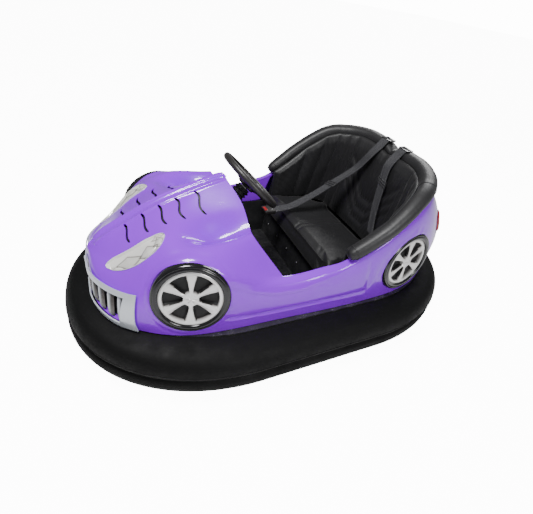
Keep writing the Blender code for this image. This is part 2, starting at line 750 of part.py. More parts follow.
def cockpit_tub():
    """Open-topped liner: toe board, floor, seat riser, seat shelf and side walls."""
    open_from = 6
    solid_path = TUB_OUTLINE[:open_from + 1]
    inner_path = []
    for i, (y, z) in enumerate(solid_path):
        a = solid_path[max(i - 1, 0)]
        b = solid_path[min(i + 1, open_from)]
        ways = []
        for p, q in ((a, (y, z)), ((y, z), b)):
            dy = q[0] - p[0]
            dz = q[1] - p[1]
            size = math.hypot(dy, dz)
            if size > 1e-9:
                ways.append((-dz / size, dy / size))
        ny = sum(w[0] for w in ways) / len(ways)
        nz = sum(w[1] for w in ways) / len(ways)
        scale = TUB_WALL / (ny * ny + nz * nz)
        inner_path.append((y + ny * scale, z + nz * scale))
    inner_path[0] = (inner_path[0][0], solid_path[0][1])
    inner_path[-1] = (inner_path[-1][0], solid_path[-1][1])
    rim_path = TUB_OUTLINE[open_from + 1:]
    bm = bmesh.new()
    w_out = TUB_HALF_W
    w_in = TUB_HALF_W - TUB_WALL

    def row(path, x):
        return [bm.verts.new((x, y, z)) for y, z in path]

    out_l = row(solid_path, w_out)
    out_r = row(solid_path, -w_out)
    in_l = row(inner_path, w_in)
    in_r = row(inner_path, -w_in)
    rim_out_l = row(rim_path, w_out)
    rim_out_r = row(rim_path, -w_out)
    rim_in_l = row(rim_path, w_in)
    rim_in_r = row(rim_path, -w_in)
    for a, b in ((out_l, out_r), (in_l, in_r)):
        for i in range(open_from):
            bm.faces.new((a[i], a[i + 1], b[i + 1], b[i]))
    bm.faces.new(out_l + rim_out_l)
    bm.faces.new(out_r + rim_out_r)
    bm.faces.new(in_l + rim_in_l)
    bm.faces.new(in_r + rim_in_r)
    bm.faces.new((out_l[0], out_r[0], in_r[0], in_l[0]))
    bm.faces.new((out_l[-1], out_r[-1], in_r[-1], in_l[-1]))
    for outer, inner, r_out, r_in in ((out_l, in_l, rim_out_l, rim_in_l), (out_r, in_r, rim_out_r, rim_in_r)):
        edge_out = [outer[-1]] + r_out + [outer[0]]
        edge_in = [inner[-1]] + r_in + [inner[0]]
        for i in range(len(edge_out) - 1):
            bm.faces.new((edge_out[i], edge_out[i + 1], edge_in[i + 1], edge_in[i]))
    return publish("cockpit_tub", bm, SOOT, 0.0, 0.6, smooth=False)


cockpit_tub()

dash_t = 5.62
dash_low = 0.395
dash_thick = 0.004
dash_drop = SKIN + 0.010


def dash_panel():
    """Panel hanging under the cowl edge down to between the liner walls."""
    cols = [0.0, 1.0, 1.5, 2.0, 2.5, 3.0, 3.5, 4.0, 4.5, 5.0]
    side = []
    for s in cols:
        p = skin_point(dash_t, s) - skin_normal(dash_t, s) * dash_drop
        if s == 0.0:
            p.x = 0.0
        side.append(p)
    edge = [p for p in side]
    wall = TUB_HALF_W - TUB_WALL - SEAT_GAP
    tops = [Vector((-p.x, p.y, p.z)) for p in reversed(edge[1:])] + edge
    face = []
    back = []
    for p in tops:
        low_x = p.x / edge[-1].x * wall
        low = Vector((low_x, -0.345, dash_low))
        mid = p.lerp(low, 0.55)
        face.append([p, mid, low])
        shift = Vector((0, -dash_thick, 0))
        back.append([p + shift, mid + shift, low + shift])
    return publish("dash_panel", slab(face, back), SOOT, 0.0, 0.6)


dash = dash_panel()
cut(dash, drum(SHAFT_RADIUS + 0.006, -0.25, -0.05, column_frame, 20), "dash_hole_cutter")

bellows_far = -0.176
bellows_near = hub_low - RUN_GAP
neck_out = SHAFT_RADIUS + 0.006 - SEAT_GAP
neck_in = SHAFT_RADIUS + 0.0008
folds = 8
bellows_profile = [(neck_in, bellows_far - 0.020), (neck_out, bellows_far - 0.020), (neck_out, bellows_far)]
for k in range(folds):
    h0 = bellows_far + (bellows_near - bellows_far) * k / folds
    h1 = bellows_far + (bellows_near - bellows_far) * (k + 0.5) / folds
    bellows_profile += [(0.028, h0), (0.036, h1)]
bellows_profile += [(0.028, bellows_near), (neck_in, bellows_near)]
publish("column_bellows", turned(bellows_profile, column_frame, 18), BLACK, 0.0, 0.6)

pedal_profile = [(-0.300, 0.150), (-0.294, 0.148), (-0.262, 0.215), (-0.268, 0.218)]
pedal = prism(pedal_profile, lambda u, v, w: (w, u, v), -0.20, -0.11)
publish("drive_pedal", pedal, STEEL, 0.6, 0.5, smooth=False)
pedal_base = box((-0.19, -0.315, tub_floor + TUB_WALL + SEAT_GAP), (-0.12, -0.275, 0.1475))
publish("pedal_base", pedal_base, SOOT, 0.2, 0.5, smooth=False)

battery_low = plate_top + SEAT_GAP
battery_high = SHELF_Z - 0.012
for side, word in ((1, "left"), (-1, "right")):
    x_in = side * 0.006
    x_out = side * 0.178
    bat = box((min(x_in, x_out), 0.125, battery_low), (max(x_in, x_out), 0.440, battery_high))
    publish("battery_" + word, bat, BLACK, 0.1, 0.5, smooth=False)

# ---------------------------------------------------------------- seat
cushion_half = TUB_HALF_W - TUB_WALL - PAD_THICK - 0.004
cushion_low = SHELF_Z + TUB_WALL + SEAT_GAP
CORNER_CUT = 0.058
cushion_outline = [
    (riser_y - 0.030, cushion_low), (0.400, cushion_low), (0.408, CUSHION_TOP_Z - 0.020),
    (0.380, CUSHION_TOP_Z - 0.006), (0.240, CUSHION_TOP_Z), (0.110, CUSHION_TOP_Z + 0.012),
    (0.085, CUSHION_TOP_Z + 0.006), (riser_y - 0.032, CUSHION_TOP_Z - 0.018),
]


def seat_cushion():
    rows = []
    xs = [-cushion_half, -cushion_half + 0.015, -0.25, -0.12, 0.0, 0.12, 0.25]
    xs += [cushion_half - 0.015, cushion_half]
    for x in xs:
        edge = abs(abs(x) - cushion_half) < 1e-6
        pts = []
        for y, z in cushion_outline:
            zz = z - 0.014 if edge and z > cushion_low + 0.03 else z
            yy = y - CORNER_CUT if abs(x) > 0.26 and y > 0.3 else y
            pts.append((x, yy, zz))
        rows.append(pts)
    bm = bmesh.new()
    grid = skin_rows(bm, rows, close_cols=True)
    bm.faces.new(grid[0])
    bm.faces.new(grid[-1])
    return publish("seat_cushion", bm, BLACK, 0.0, 0.45)


seat_cushion()

RIM_T = [8.0, 8.5, 9.0, 9.5, 10.0, 10.5, 11.0, 11.5, 12.0, 12.5, 13.0, 13.5, TAIL - 1e-6]
RIM_SEAT = 0.0009


def rim_section(t):
    """Seat of the padded roll on the cockpit edge, with its half height and half width."""
    a = skin_point(t, 5.0)
    b = skin_point(t, 6.0)
    grow = min(max((t - 8.0) / 3.0, 0.0), 1.0)
    half_h = RIM_HALF_H * (0.84 + 0.30 * grow)
    half_w = RIM_HALF_W * (0.82 + 0.28 * grow)
    dip = max(0.0, 1.0 - (TAIL - t) / 0.8)
    return a.lerp(b, 0.40), half_h * (1.0 - 0.25 * dip), half_w


def seat_rim():
    half = [rim_section(t) for t in RIM_T]
    path = half + [(Vector((-c.x, c.y, c.z)), h, w) for c, h, w in reversed(half[:-1])]
    bm = bmesh.new()
    rows = []
    count = 12
    for i, (c, hh, hw) in enumerate(path):
        a = path[max(i - 1, 0)][0]
        b = path[min(i + 1, len(path) - 1)][0]
        ahead = (b - a).normalized()
        side = Vector((ahead.y, -ahead.x, 0)).normalized()
        upv = side.cross(ahead)
        if upv.z < 0:
            upv = -upv
        centre = c + upv * (hh + RIM_SEAT)
        ring = []
        for k in range(count):
            phi = 2 * math.pi * (k + 0.5) / count
            cu = math.cos(phi)
            su = math.sin(phi)
            u = hw * math.copysign(abs(cu) ** 0.8, cu)
            v = hh * math.copysign(abs(su) ** 0.8, su)
            ring.append(centre + side * u + upv * v)
        rows.append(ring)
    grid = skin_rows(bm, rows, close_cols=True)
    bm.faces.new(grid[0])
    bm.faces.new(grid[-1])
    return publish("seat_rim", bm, BLACK, 0.0, 0.45)


seat_rim()


def seat_back():
    """Upholstered side and back panel inside the padded roll, one bent sheet."""
    foot = [
        (0.0, 0.118), (0.0, 0.190), (0.0, 0.265), (0.0, 0.325), (0.006, 0.380), (0.034, 0.424),
        (0.075, 0.449), (0.125, 0.456), (0.180, 0.459), (0.230, 0.461), (0.280, 0.462), (0.325, 0.463),
    ]
    wall = TUB_HALF_W - TUB_WALL - 0.0008
    foot_z = SHELF_Z + 0.035
    path = [rim_section(t) for t in RIM_T]
    outer = []
    inner = []
    levels = [0.0, 0.25, 0.5, 0.75, 1.0]
    for i in range(len(path)):
        c, hh, hw = path[i]
        a = path[max(i - 1, 0)][0]
        b = path[min(i + 1, len(path) - 1)][0]
        way = Vector((b.x - a.x, b.y - a.y, 0))
        inward = Vector((-way.y, way.x, 0)).normalized()
        if inward.dot(Vector((-c.x, 0.25 - c.y, 0))) < 0:
            inward = -inward
        if i == len(path) - 1:
            inward = Vector((0, -1, 0))
        head = c + inward * (hw + 0.0016)
        head.z = c.z + hh * 1.05
        if i < len(foot):
            base = Vector((wall - foot[i][0], foot[i][1], foot_z))
        else:
            base = Vector((0.0, 0.464, foot_z))
        head.x = min(head.x, wall)
        if i == len(path) - 1:
            head.x = 0.0
        row_out = []
        row_in = []
        for f in levels:
            p = base.lerp(head, f)
            row_out.append(p)
            thick = PAD_THICK * (0.35 if f in (0.0, 1.0) else 1.0)
            row_in.append(p + inward * thick)
        outer.append(row_out)
        inner.append(row_in)

    def both_sides(rows):
        other = [[Vector((-p.x, p.y, p.z)) for p in row] for row in reversed(rows[:-1])]
        return rows + other

    return publish("seat_back", slab(both_sides(outer), both_sides(inner)), BLACK, 0.0, 0.45)


seat_back()

# ---------------------------------------------------------------- false wheels moulded on the flanks
FALSE_WHEELS = [
    ("front_left", 1, (0.370, -0.538, 0.420), -15.5, 10.0),
    ("front_right", -1, (0.370, -0.538, 0.420), -15.5, 10.0),
    ("rear_left", 1, (0.415, 0.431, 0.441), 7.7, 6.0),
    ("rear_right", -1, (0.415, 0.431, 0.441), 7.7, 6.0),
]
for word, side, spot, swing, lean in FALSE_WHEELS:
    sw = math.radians(swing)
    le = math.radians(lean)
    axis = Vector((side * math.cos(le) * math.cos(sw), math.cos(le) * math.sin(sw), math.sin(le)))
    centre = (side * spot[0] * SX, spot[1] * SY, BODY_BASE_Z + (spot[2] - 0.256) * SZ)
    frame = aim(centre, axis)
    cutter = drum(DISC_RADIUS + SEAT_GAP, -0.075, 0.07, frame, 32)
    cut(body, cutter, "disc_" + word + "_cutter")
    r0 = DISC_RIM_RADIUS + SEAT_GAP
    r1 = DISC_RADIUS
    wall = [
        (r0, -DISC_DEPTH), (r1, -DISC_DEPTH), (r1, 0.000), (r1 - 0.007, DISC_PROUD - 0.003),
        (r1 - 0.020, DISC_PROUD), (r0 + 0.010, DISC_PROUD - 0.002), (r0, DISC_PROUD - 0.008),
    ]
    publish("disc_" + word + "_tyre", turned(wall, frame, 32), BLACK, 0.0, 0.2)
    dish = [
        (0.0, -0.020), (DISC_RIM_RADIUS, -0.020), (DISC_RIM_RADIUS, 0.006),
        (DISC_RIM_RADIUS - 0.008, 0.006), (DISC_RIM_RADIUS - 0.014, -0.002),
        (0.024, 0.002), (0.018, 0.006), (0.0, 0.006),
    ]
    publish("disc_" + word + "_rim", solid_turned(dish, frame, 32), SILVER, 0.6, 0.3)


# ---------------------------------------------------------------- lamps and grille on the skin
LAMP_WAY = skin_normal(2.6, 3.2)


def patch(outline, low, high, side, across_steps):
    """Thin solid between two edge curves given as (t, s) pairs, with straight walls."""
    outer = []
    inner = []
    for (t0, s0), (t1, s1) in outline:
        row_out = []
        row_in = []
        for k in range(across_steps + 1):
            f = k / across_steps
            p = skin_point(t0 + (t1 - t0) * f, s0 + (s1 - s0) * f)
            q = p + LAMP_WAY * high
            r = p + LAMP_WAY * low
            row_out.append(Vector((q.x * side, q.y, q.z)))
            row_in.append(Vector((r.x * side, r.y, r.z)))
        outer.append(row_out)
        inner.append(row_in)
    return slab(outer, inner)


LAMP_EDGES = [
    ((1.34, 3.92), (1.42, 4.14)), ((1.38, 3.48), (1.62, 4.18)), ((1.54, 3.00), (1.90, 4.07)),
    ((1.90, 2.60), (2.25, 3.90)), ((2.34, 2.42), (2.65, 3.76)), ((2.84, 2.38), (3.02, 3.54)),
    ((3.26, 2.40), (3.42, 3.24)), ((3.52, 2.46), (3.60, 2.98)), ((3.66, 2.58), (3.68, 2.76)),
]


def spread(edges, dt, ds):
    """The same outline pushed outwards a little on every side."""
    out = []
    last = len(edges) - 1
    for i, ((t0, s0), (t1, s1)) in enumerate(edges):
        end = -dt if i == 0 else (dt if i == last else 0.0)
        out.append(((t0 + end, s0 - ds), (t1 + end, s1 + ds)))
    return out


for side, word in ((1, "left"), (-1, "right")):
    publish("headlight_" + word, patch(LAMP_EDGES, -0.009, 0.003, side, 4), SILVER, 0.3, 0.2)
    cutter = patch(spread(LAMP_EDGES, 0.006, 0.007), -0.022, 0.020, side, 4)
    cut(body, cutter, "headlight_" + word + "_cutter")

PATCH_GAP = 0.0012
TAIL_GAP = 0.0008
GRILLE_T = [0.0, 0.35, 0.7, 1.0, 1.35, 1.7, 2.0, 2.35, 2.7]
GRILLE_S = [5.5, 6.0, 6.5, 7.0, 7.5, 8.0, 8.5]


def lifted(t, s, lift, side):
    n = skin_normal(t, s)
    if t < 0.001 or t > TAIL - 0.001:
        n.x = 0.0
        n.normalize()
    p = skin_point(t, s) + n * lift
    return Vector((p.x * side, p.y, p.z))


def wrap_patch(steps, cols, low, high, sides):
    outer = []
    inner = []
    order = []
    if sides == 0:
        order = [(t, -1) for t in reversed(steps)] + [(t, 1) for t in steps[1:]]
    else:
        order = [(t, sides) for t in steps]
    for t, side in order:
        outer.append([lifted(t, s, high, side) for s in cols])
        inner.append([lifted(t, s, low, side) for s in cols])
    return slab(outer, inner)


publish("grille", wrap_patch(GRILLE_T, GRILLE_S, PATCH_GAP, 0.007, 0), SILVER, 0.6, 0.3)
for side, word in ((1, "left"), (-1, "right")):
    lamp = wrap_patch([11.5, 12.0], [7.0, 7.5], TAIL_GAP, 0.008, side)
    publish("tail_light_" + word, lamp, RED, 0.0, 0.2)

# ---------------------------------------------------------------- belts
BELT_HALF = 0.024
BELT_THICK = 0.0025


def strap(points, name):
    """Webbing laid along points; each entry is a position and the direction across the webbing."""
    top = []
    low = []
    for i, (p, wide) in enumerate(points):
        a = points[max(i - 1, 0)][0]
        b = points[min(i + 1, len(points) - 1)][0]
        along = (Vector(b) - Vector(a)).normalized()
        w = Vector(wide).normalized()
        n = along.cross(w).normalized()
        if n.z < 0 and abs(n.z) > 0.2 or n.y > 0.5:
            n = -n
        mid = Vector(p)
        top.append([mid + w * BELT_HALF + n * BELT_THICK, mid - w * BELT_HALF + n * BELT_THICK])
        low.append([mid + w * BELT_HALF, mid - w * BELT_HALF])
    return publish(name, slab(top, low), BLACK, 0.0, 0.8)


rim_top = rim_section(13.4)
crest = rim_top[0] + Vector((0, 0, 2 * rim_top[1] + RIM_SEAT))
near_x = 0.062
back_face = crest.y - rim_top[2] - 0.0016 - PAD_THICK - 0.010
left_belt = [
    ((near_x, crest.y + 0.016, crest.z + 0.0048), (1, 0, 0)),
    ((near_x, crest.y - 0.022, crest.z + 0.0038), (1, 0, 0)),
    ((near_x, crest.y - 0.052, crest.z - 0.026), (1, 0, 0)),
    ((near_x + 0.004, back_face - 0.010, crest.z - 0.075), (1, 0, -0.1)),
    ((near_x + 0.030, back_face - 0.030, 0.640), (1, 0, -0.2)),
    ((near_x + 0.075, back_face - 0.060, 0.520), (1, 0, -0.3)),
    ((near_x + 0.120, back_face - 0.082, 0.436), (1, 0, -0.3)),
]
right_belt = [
    ((-near_x, crest.y + 0.016, crest.z + 0.0048), (1, 0, 0)),
    ((-near_x, crest.y - 0.022, crest.z + 0.0038), (1, 0, 0)),
    ((-near_x, crest.y - 0.052, crest.z - 0.026), (1, 0, 0)),
    ((-near_x - 0.006, back_face - 0.012, crest.z - 0.075), (1, 0, 0.1)),
    ((-near_x - 0.030, back_face - 0.045, 0.660), (1, 0.1, 0.2)),
    ((-near_x - 0.052, 0.320, 0.560), (1, 0.2, 0.2)),
    ((-near_x - 0.062, 0.200, 0.480), (1, 0.1, 0.1)),
    ((-near_x - 0.066, 0.100, 0.436), (1, 0, 0)),
    ((-near_x - 0.066, 0.020, 0.428), (1, 0, 0)),
]
strap(left_belt, "belt_left")
strap(right_belt, "belt_right")
buckle_low = 0.4225
buckle = box((-near_x - 0.096, -0.045, buckle_low - 0.004), (-near_x - 0.036, 0.019, buckle_low + 0.018))
publish("belt_buckle", buckle, BLACK, 0.0, 0.4, smooth=False)
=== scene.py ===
# Looks of a two-seat battery bumper car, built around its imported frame.
# Metres, +Z up, the nose points to -Y and +X is the car's left side.
import math

import bmesh
import bpy
import numpy as np
from mathutils import Matrix, Vector


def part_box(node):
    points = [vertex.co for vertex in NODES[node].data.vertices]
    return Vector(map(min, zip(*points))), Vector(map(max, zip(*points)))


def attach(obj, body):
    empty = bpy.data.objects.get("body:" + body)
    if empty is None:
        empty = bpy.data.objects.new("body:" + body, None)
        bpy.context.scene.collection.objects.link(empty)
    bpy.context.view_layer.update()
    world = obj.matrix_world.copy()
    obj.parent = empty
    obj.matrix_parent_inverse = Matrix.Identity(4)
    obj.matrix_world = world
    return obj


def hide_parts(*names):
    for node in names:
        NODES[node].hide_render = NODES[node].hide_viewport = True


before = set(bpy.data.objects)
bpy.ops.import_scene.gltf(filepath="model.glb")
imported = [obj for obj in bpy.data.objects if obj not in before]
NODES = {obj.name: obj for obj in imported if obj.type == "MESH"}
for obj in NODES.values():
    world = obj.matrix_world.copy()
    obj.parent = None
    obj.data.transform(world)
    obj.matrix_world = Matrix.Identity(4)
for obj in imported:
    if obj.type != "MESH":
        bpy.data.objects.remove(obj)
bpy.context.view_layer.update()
SCENE = bpy.context.scene
MM = 0.001


# ---------------------------------------------------------------- camera, light and floor
def turned_from(azimuth, elevation, roll):
    """Camera turn from where it stands round the car, how high, and its lean."""
    a = math.radians(azimuth)
    e = math.radians(elevation)
    back = Vector((math.sin(a) * math.cos(e), -math.cos(a) * math.cos(e), math.sin(e)))
    right = Vector((0, 0, 1)).cross(back).normalized()
    up = back.cross(right)
    lean = math.radians(roll)
    side = right * math.cos(lean) + up * math.sin(lean)
    head = up * math.cos(lean) - right * math.sin(lean)
    return Matrix((side, head, back)).transposed()


def add_camera():
    data = bpy.data.cameras.new("camera")
    data.lens = 24.07
    data.sensor_width = 36.0
    cam = bpy.data.objects.new("camera", data)
    cam.location = (1.2423, -0.7850, 1.3470)
    cam.rotation_euler = turned_from(59.27, 37.72, 10.94).to_euler()
    SCENE.collection.objects.link(cam)
    SCENE.camera = cam


def soft_lamp(name, place, target, size, power, tint=(1.0, 1.0, 1.0)):
    data = bpy.data.lights.new(name, "AREA")
    data.shape = "RECTANGLE"
    data.size = size[0]
    data.size_y = size[1]
    data.energy = power
    data.color = tint
    lamp = bpy.data.objects.new(name, data)
    lamp.location = place
    way = Vector(target) - Vector(place)
    lamp.rotation_euler = way.to_track_quat("-Z", "Y").to_euler()
    SCENE.collection.objects.link(lamp)


def add_studio():
    world = bpy.data.worlds.new("studio")
    world.use_nodes = True
    sky = world.node_tree.nodes["Background"]
    sky.inputs["Color"].default_value = (1.0, 1.0, 1.0, 1.0)
    path = world.node_tree.nodes.new("ShaderNodeLightPath")
    seen = world.node_tree.nodes.new("ShaderNodeMapRange")
    seen.inputs["To Min"].default_value = 0.24
    seen.inputs["To Max"].default_value = 14.0
    world.node_tree.links.new(path.outputs["Is Camera Ray"], seen.inputs["Value"])
    world.node_tree.links.new(seen.outputs["Result"], sky.inputs["Strength"])
    SCENE.world = world
    soft_lamp("key_lamp", (0.5, -1.3, 3.4), (0.0, -0.1, 0.4), (1.0, 0.8), 135)
    soft_lamp("side_lamp", (3.2, 0.3, 2.1), (0.2, 0.0, 0.4), (0.9, 1.4), 58)
    soft_lamp("tail_lamp", (-1.6, 2.4, 2.6), (0.0, 0.2, 0.5), (1.6, 0.9), 60)
    bm = bmesh.new()
    bmesh.ops.create_grid(bm, x_segments=2, y_segments=2, size=60.0)
    mesh = bpy.data.meshes.new("floor")
    bm.to_mesh(mesh)
    bm.free()
    floor = bpy.data.objects.new("floor", mesh)
    floor.location = (0, 0, 0)
    SCENE.collection.objects.link(floor)
    mat = bpy.data.materials.new("floor_white")
    mat.use_nodes = True
    shader = mat.node_tree.nodes["Principled BSDF"]
    shader.inputs["Base Color"].default_value = (0.80, 0.80, 0.80, 1.0)
    shader.inputs["Roughness"].default_value = 0.85
    shader.inputs["Emission Color"].default_value = (1.0, 1.0, 1.0, 1.0)
    path = mat.node_tree.nodes.new("ShaderNodeLightPath")
    seen = mat.node_tree.nodes.new("ShaderNodeMath")
    seen.operation = "MULTIPLY"
    seen.inputs[1].default_value = 12.0
    mat.node_tree.links.new(path.outputs["Is Camera Ray"], seen.inputs[0])
    mat.node_tree.links.new(seen.outputs["Value"], shader.inputs["Emission Strength"])
    geometry = mat.node_tree.nodes.new("ShaderNodeNewGeometry")
    above = mat.node_tree.nodes.new("ShaderNodeMath")
    above.operation = "SUBTRACT"
    above.inputs[0].default_value = 1.0
    mat.node_tree.links.new(geometry.outputs["Backfacing"], above.inputs[1])
    mat.node_tree.links.new(above.outputs["Value"], shader.inputs["Alpha"])
    mesh.materials.append(mat)


add_camera()
add_studio()


# ---------------------------------------------------------------- material kit
class Recipe:
    """One procedural material: a Principled shader and short ways to feed it."""

    def __init__(self, name, color, rough, metallic=0.0, **fixed):
        self.mat = bpy.data.materials.new(name)
        self.mat.use_nodes = True
        self.tree = self.mat.node_tree
        self.shader = self.tree.nodes["Principled BSDF"]
        self.mat.diffuse_color = (*color, 1.0)
        self.set(self.shader, "Base Color", (*color, 1.0))
        self.set(self.shader, "Roughness", rough)
        self.set(self.shader, "Metallic", metallic)
        for word, value in fixed.items():
            self.set(self.shader, word.replace("_", " "), value)
        self.coords = self.node("ShaderNodeTexCoord")

    def node(self, kind, **props):
        made = self.tree.nodes.new(kind)
        for word, value in props.items():
            setattr(made, word, value)
        return made

    @staticmethod
    def set(node, socket, value):
        node.inputs[socket].default_value = value

    def wire(self, out, node, socket):
        self.tree.links.new(out, node.inputs[socket])

    def place(self, scale=(1, 1, 1), turn=(0, 0, 0)):
        spot = self.node("ShaderNodeMapping")
        self.set(spot, "Scale", scale)
        self.set(spot, "Rotation", turn)
        self.wire(self.coords.outputs["Object"], spot, "Vector")
        return spot.outputs["Vector"]

    def noise(self, scale, detail=4.0, rough=0.55, at=None, warp=0.0):
        tex = self.node("ShaderNodeTexNoise")
        self.set(tex, "Scale", scale)
        self.set(tex, "Detail", detail)
        self.set(tex, "Roughness", rough)
        self.set(tex, "Distortion", warp)
        self.wire(at or self.coords.outputs["Object"], tex, "Vector")
        return tex.outputs["Fac"]

    def span(self, value, low, high, to_low=0.0, to_high=1.0):
        ramp = self.node("ShaderNodeMapRange")
        for word, number in (("From Min", low), ("From Max", high), ("To Min", to_low), ("To Max", to_high)):
            self.set(ramp, word, number)
        self.wire(value, ramp, "Value")
        return ramp.outputs["Result"]

    def tint(self, fac, first, second):
        mix = self.node("ShaderNodeMix", data_type="RGBA")
        mix.inputs[6].default_value = (*first, 1.0)
        mix.inputs[7].default_value = (*second, 1.0)
        self.wire(fac, mix, 0)
        return mix.outputs[2]

    def over(self, fac, under, second):
        mix = self.node("ShaderNodeMix", data_type="RGBA")
        self.wire(under, mix, 6)
        mix.inputs[7].default_value = (*second, 1.0)
        self.wire(fac, mix, 0)
        return mix.outputs[2]

    def math(self, how, a, b=None, number=None):
        step = self.node("ShaderNodeMath", operation=how)
        self.wire(a, step, 0)
        if b is not None:
            self.wire(b, step, 1)
        if number is not None:
            step.inputs[1].default_value = number
        return step.outputs[0]

    def group(self, tree, **values):
        made = self.node("ShaderNodeGroup")
        made.node_tree = tree
        self.wire(self.coords.outputs["Object"], made, "Place")
        for word, value in values.items():
            self.set(made, word, value)
        return made

    def attribute(self, name):
        return self.node("ShaderNodeAttribute", attribute_name=name).outputs["Fac"]

    def bump(self, height, strength, distance=0.001, under=None):
        made = self.node("ShaderNodeBump")
        self.set(made, "Strength", strength)
        self.set(made, "Distance", distance)
        self.wire(height, made, "Height")
        if under is not None:
            self.wire(under, made, "Normal")
        return made.outputs["Normal"]

    def feed(self, socket, value):
        self.wire(value, self.shader, socket)


def effect(name, inputs, outputs):
    """Empty shader group with named sockets; returns its tree and its end nodes."""
    tree = bpy.data.node_groups.new(name, "ShaderNodeTree")
    tree.interface.new_socket("Place", in_out="INPUT", socket_type="NodeSocketVector")
    for word, value in inputs.items():
        made = tree.interface.new_socket(word, in_out="INPUT", socket_type="NodeSocketFloat")
        made.default_value = value
    for word in outputs:
        tree.interface.new_socket(word, in_out="OUTPUT", socket_type="NodeSocketFloat")
    return tree, tree.nodes.new("NodeGroupInput"), tree.nodes.new("NodeGroupOutput")


def wear_effect():
    """Scuffs: thin scratches in patches; Mask is 1 where the finish is worn."""
    tree, start, end = effect("handling_wear", {"Scale": 8.0, "Amount": 0.5}, ("Mask", "Height"))
    link = tree.links.new
    patch = tree.nodes.new("ShaderNodeTexNoise")
    patch.inputs["Detail"].default_value = 5.0
    link(start.outputs["Place"], patch.inputs["Vector"])
    link(start.outputs["Scale"], patch.inputs["Scale"])
    fine = tree.nodes.new("ShaderNodeMath")
    fine.operation = "MULTIPLY"
    fine.inputs[1].default_value = 9.0
    link(start.outputs["Scale"], fine.inputs[0])
    lines = tree.nodes.new("ShaderNodeTexNoise")
    lines.inputs["Detail"].default_value = 3.0
    lines.inputs["Distortion"].default_value = 2.5
    link(start.outputs["Place"], lines.inputs["Vector"])
    link(fine.outputs[0], lines.inputs["Scale"])
    thin = tree.nodes.new("ShaderNodeMapRange")
    thin.inputs["From Min"].default_value = 0.56
    thin.inputs["From Max"].default_value = 0.66
    link(lines.outputs["Fac"], thin.inputs["Value"])
    zone = tree.nodes.new("ShaderNodeMapRange")
    zone.inputs["From Min"].default_value = 0.48
    zone.inputs["From Max"].default_value = 0.70
    link(patch.outputs["Fac"], zone.inputs["Value"])
    both = tree.nodes.new("ShaderNodeMath")
    both.operation = "MULTIPLY"
    link(thin.outputs["Result"], both.inputs[0])
    link(zone.outputs["Result"], both.inputs[1])
    share = tree.nodes.new("ShaderNodeMath")
    share.operation = "MULTIPLY"
    link(both.outputs[0], share.inputs[0])
    link(start.outputs["Amount"], share.inputs[1])
    link(share.outputs[0], end.inputs["Mask"])
    link(lines.outputs["Fac"], end.inputs["Height"])
    return tree


def grain_effect():
    """Fine pebble of leather and textured plastic; Height for bump, Pore for colour."""
    tree, start, end = effect("pebble_grain", {"Scale": 300.0, "Softness": 0.5}, ("Height", "Pore"))
    link = tree.links.new
    cells = tree.nodes.new("ShaderNodeTexVoronoi")
    cells.feature = "DISTANCE_TO_EDGE"
    link(start.outputs["Place"], cells.inputs["Vector"])
    link(start.outputs["Scale"], cells.inputs["Scale"])
    rim = tree.nodes.new("ShaderNodeMapRange")
    rim.inputs["From Max"].default_value = 0.28
    link(cells.outputs["Distance"], rim.inputs["Value"])
    cloud = tree.nodes.new("ShaderNodeTexNoise")
    cloud.inputs["Detail"].default_value = 3.0
    link(start.outputs["Place"], cloud.inputs["Vector"])
    link(start.outputs["Scale"], cloud.inputs["Scale"])
    mix = tree.nodes.new("ShaderNodeMix")
    mix.data_type = "FLOAT"
    link(start.outputs["Softness"], mix.inputs[0])
    link(rim.outputs["Result"], mix.inputs[2])
    link(cloud.outputs["Fac"], mix.inputs[3])
    link(mix.outputs[0], end.inputs["Height"])
    link(rim.outputs["Result"], end.inputs["Pore"])
    return tree


def dust_effect():
    """Dust that settles low on the car; Mask is 1 where it lies."""
    tree, start, end = effect("settled_dust", {"Top": 0.25, "Depth": 0.2, "Scale": 14.0}, ("Mask",))
    link = tree.links.new
    parts = tree.nodes.new("ShaderNodeSeparateXYZ")
    link(start.outputs["Place"], parts.inputs["Vector"])
    below = tree.nodes.new("ShaderNodeMath")
    below.operation = "SUBTRACT"
    link(start.outputs["Top"], below.inputs[0])
    link(parts.outputs["Z"], below.inputs[1])
    fade = tree.nodes.new("ShaderNodeMath")
    fade.operation = "DIVIDE"
    fade.use_clamp = True
    link(below.outputs[0], fade.inputs[0])
    link(start.outputs["Depth"], fade.inputs[1])
    spots = tree.nodes.new("ShaderNodeTexNoise")
    spots.inputs["Detail"].default_value = 6.0
    spots.inputs["Roughness"].default_value = 0.65
    link(start.outputs["Place"], spots.inputs["Vector"])
    link(start.outputs["Scale"], spots.inputs["Scale"])
    break_up = tree.nodes.new("ShaderNodeMapRange")
    break_up.inputs["From Min"].default_value = 0.42
    break_up.inputs["From Max"].default_value = 0.68
    link(spots.outputs["Fac"], break_up.inputs["Value"])
    both = tree.nodes.new("ShaderNodeMath")
    both.operation = "MULTIPLY"
    link(fade.outputs[0], both.inputs[0])
    link(break_up.outputs["Result"], both.inputs[1])
    link(both.outputs[0], end.inputs["Mask"])
    return tree


WEAR = wear_effect()
GRAIN = grain_effect()
DUST = dust_effect()


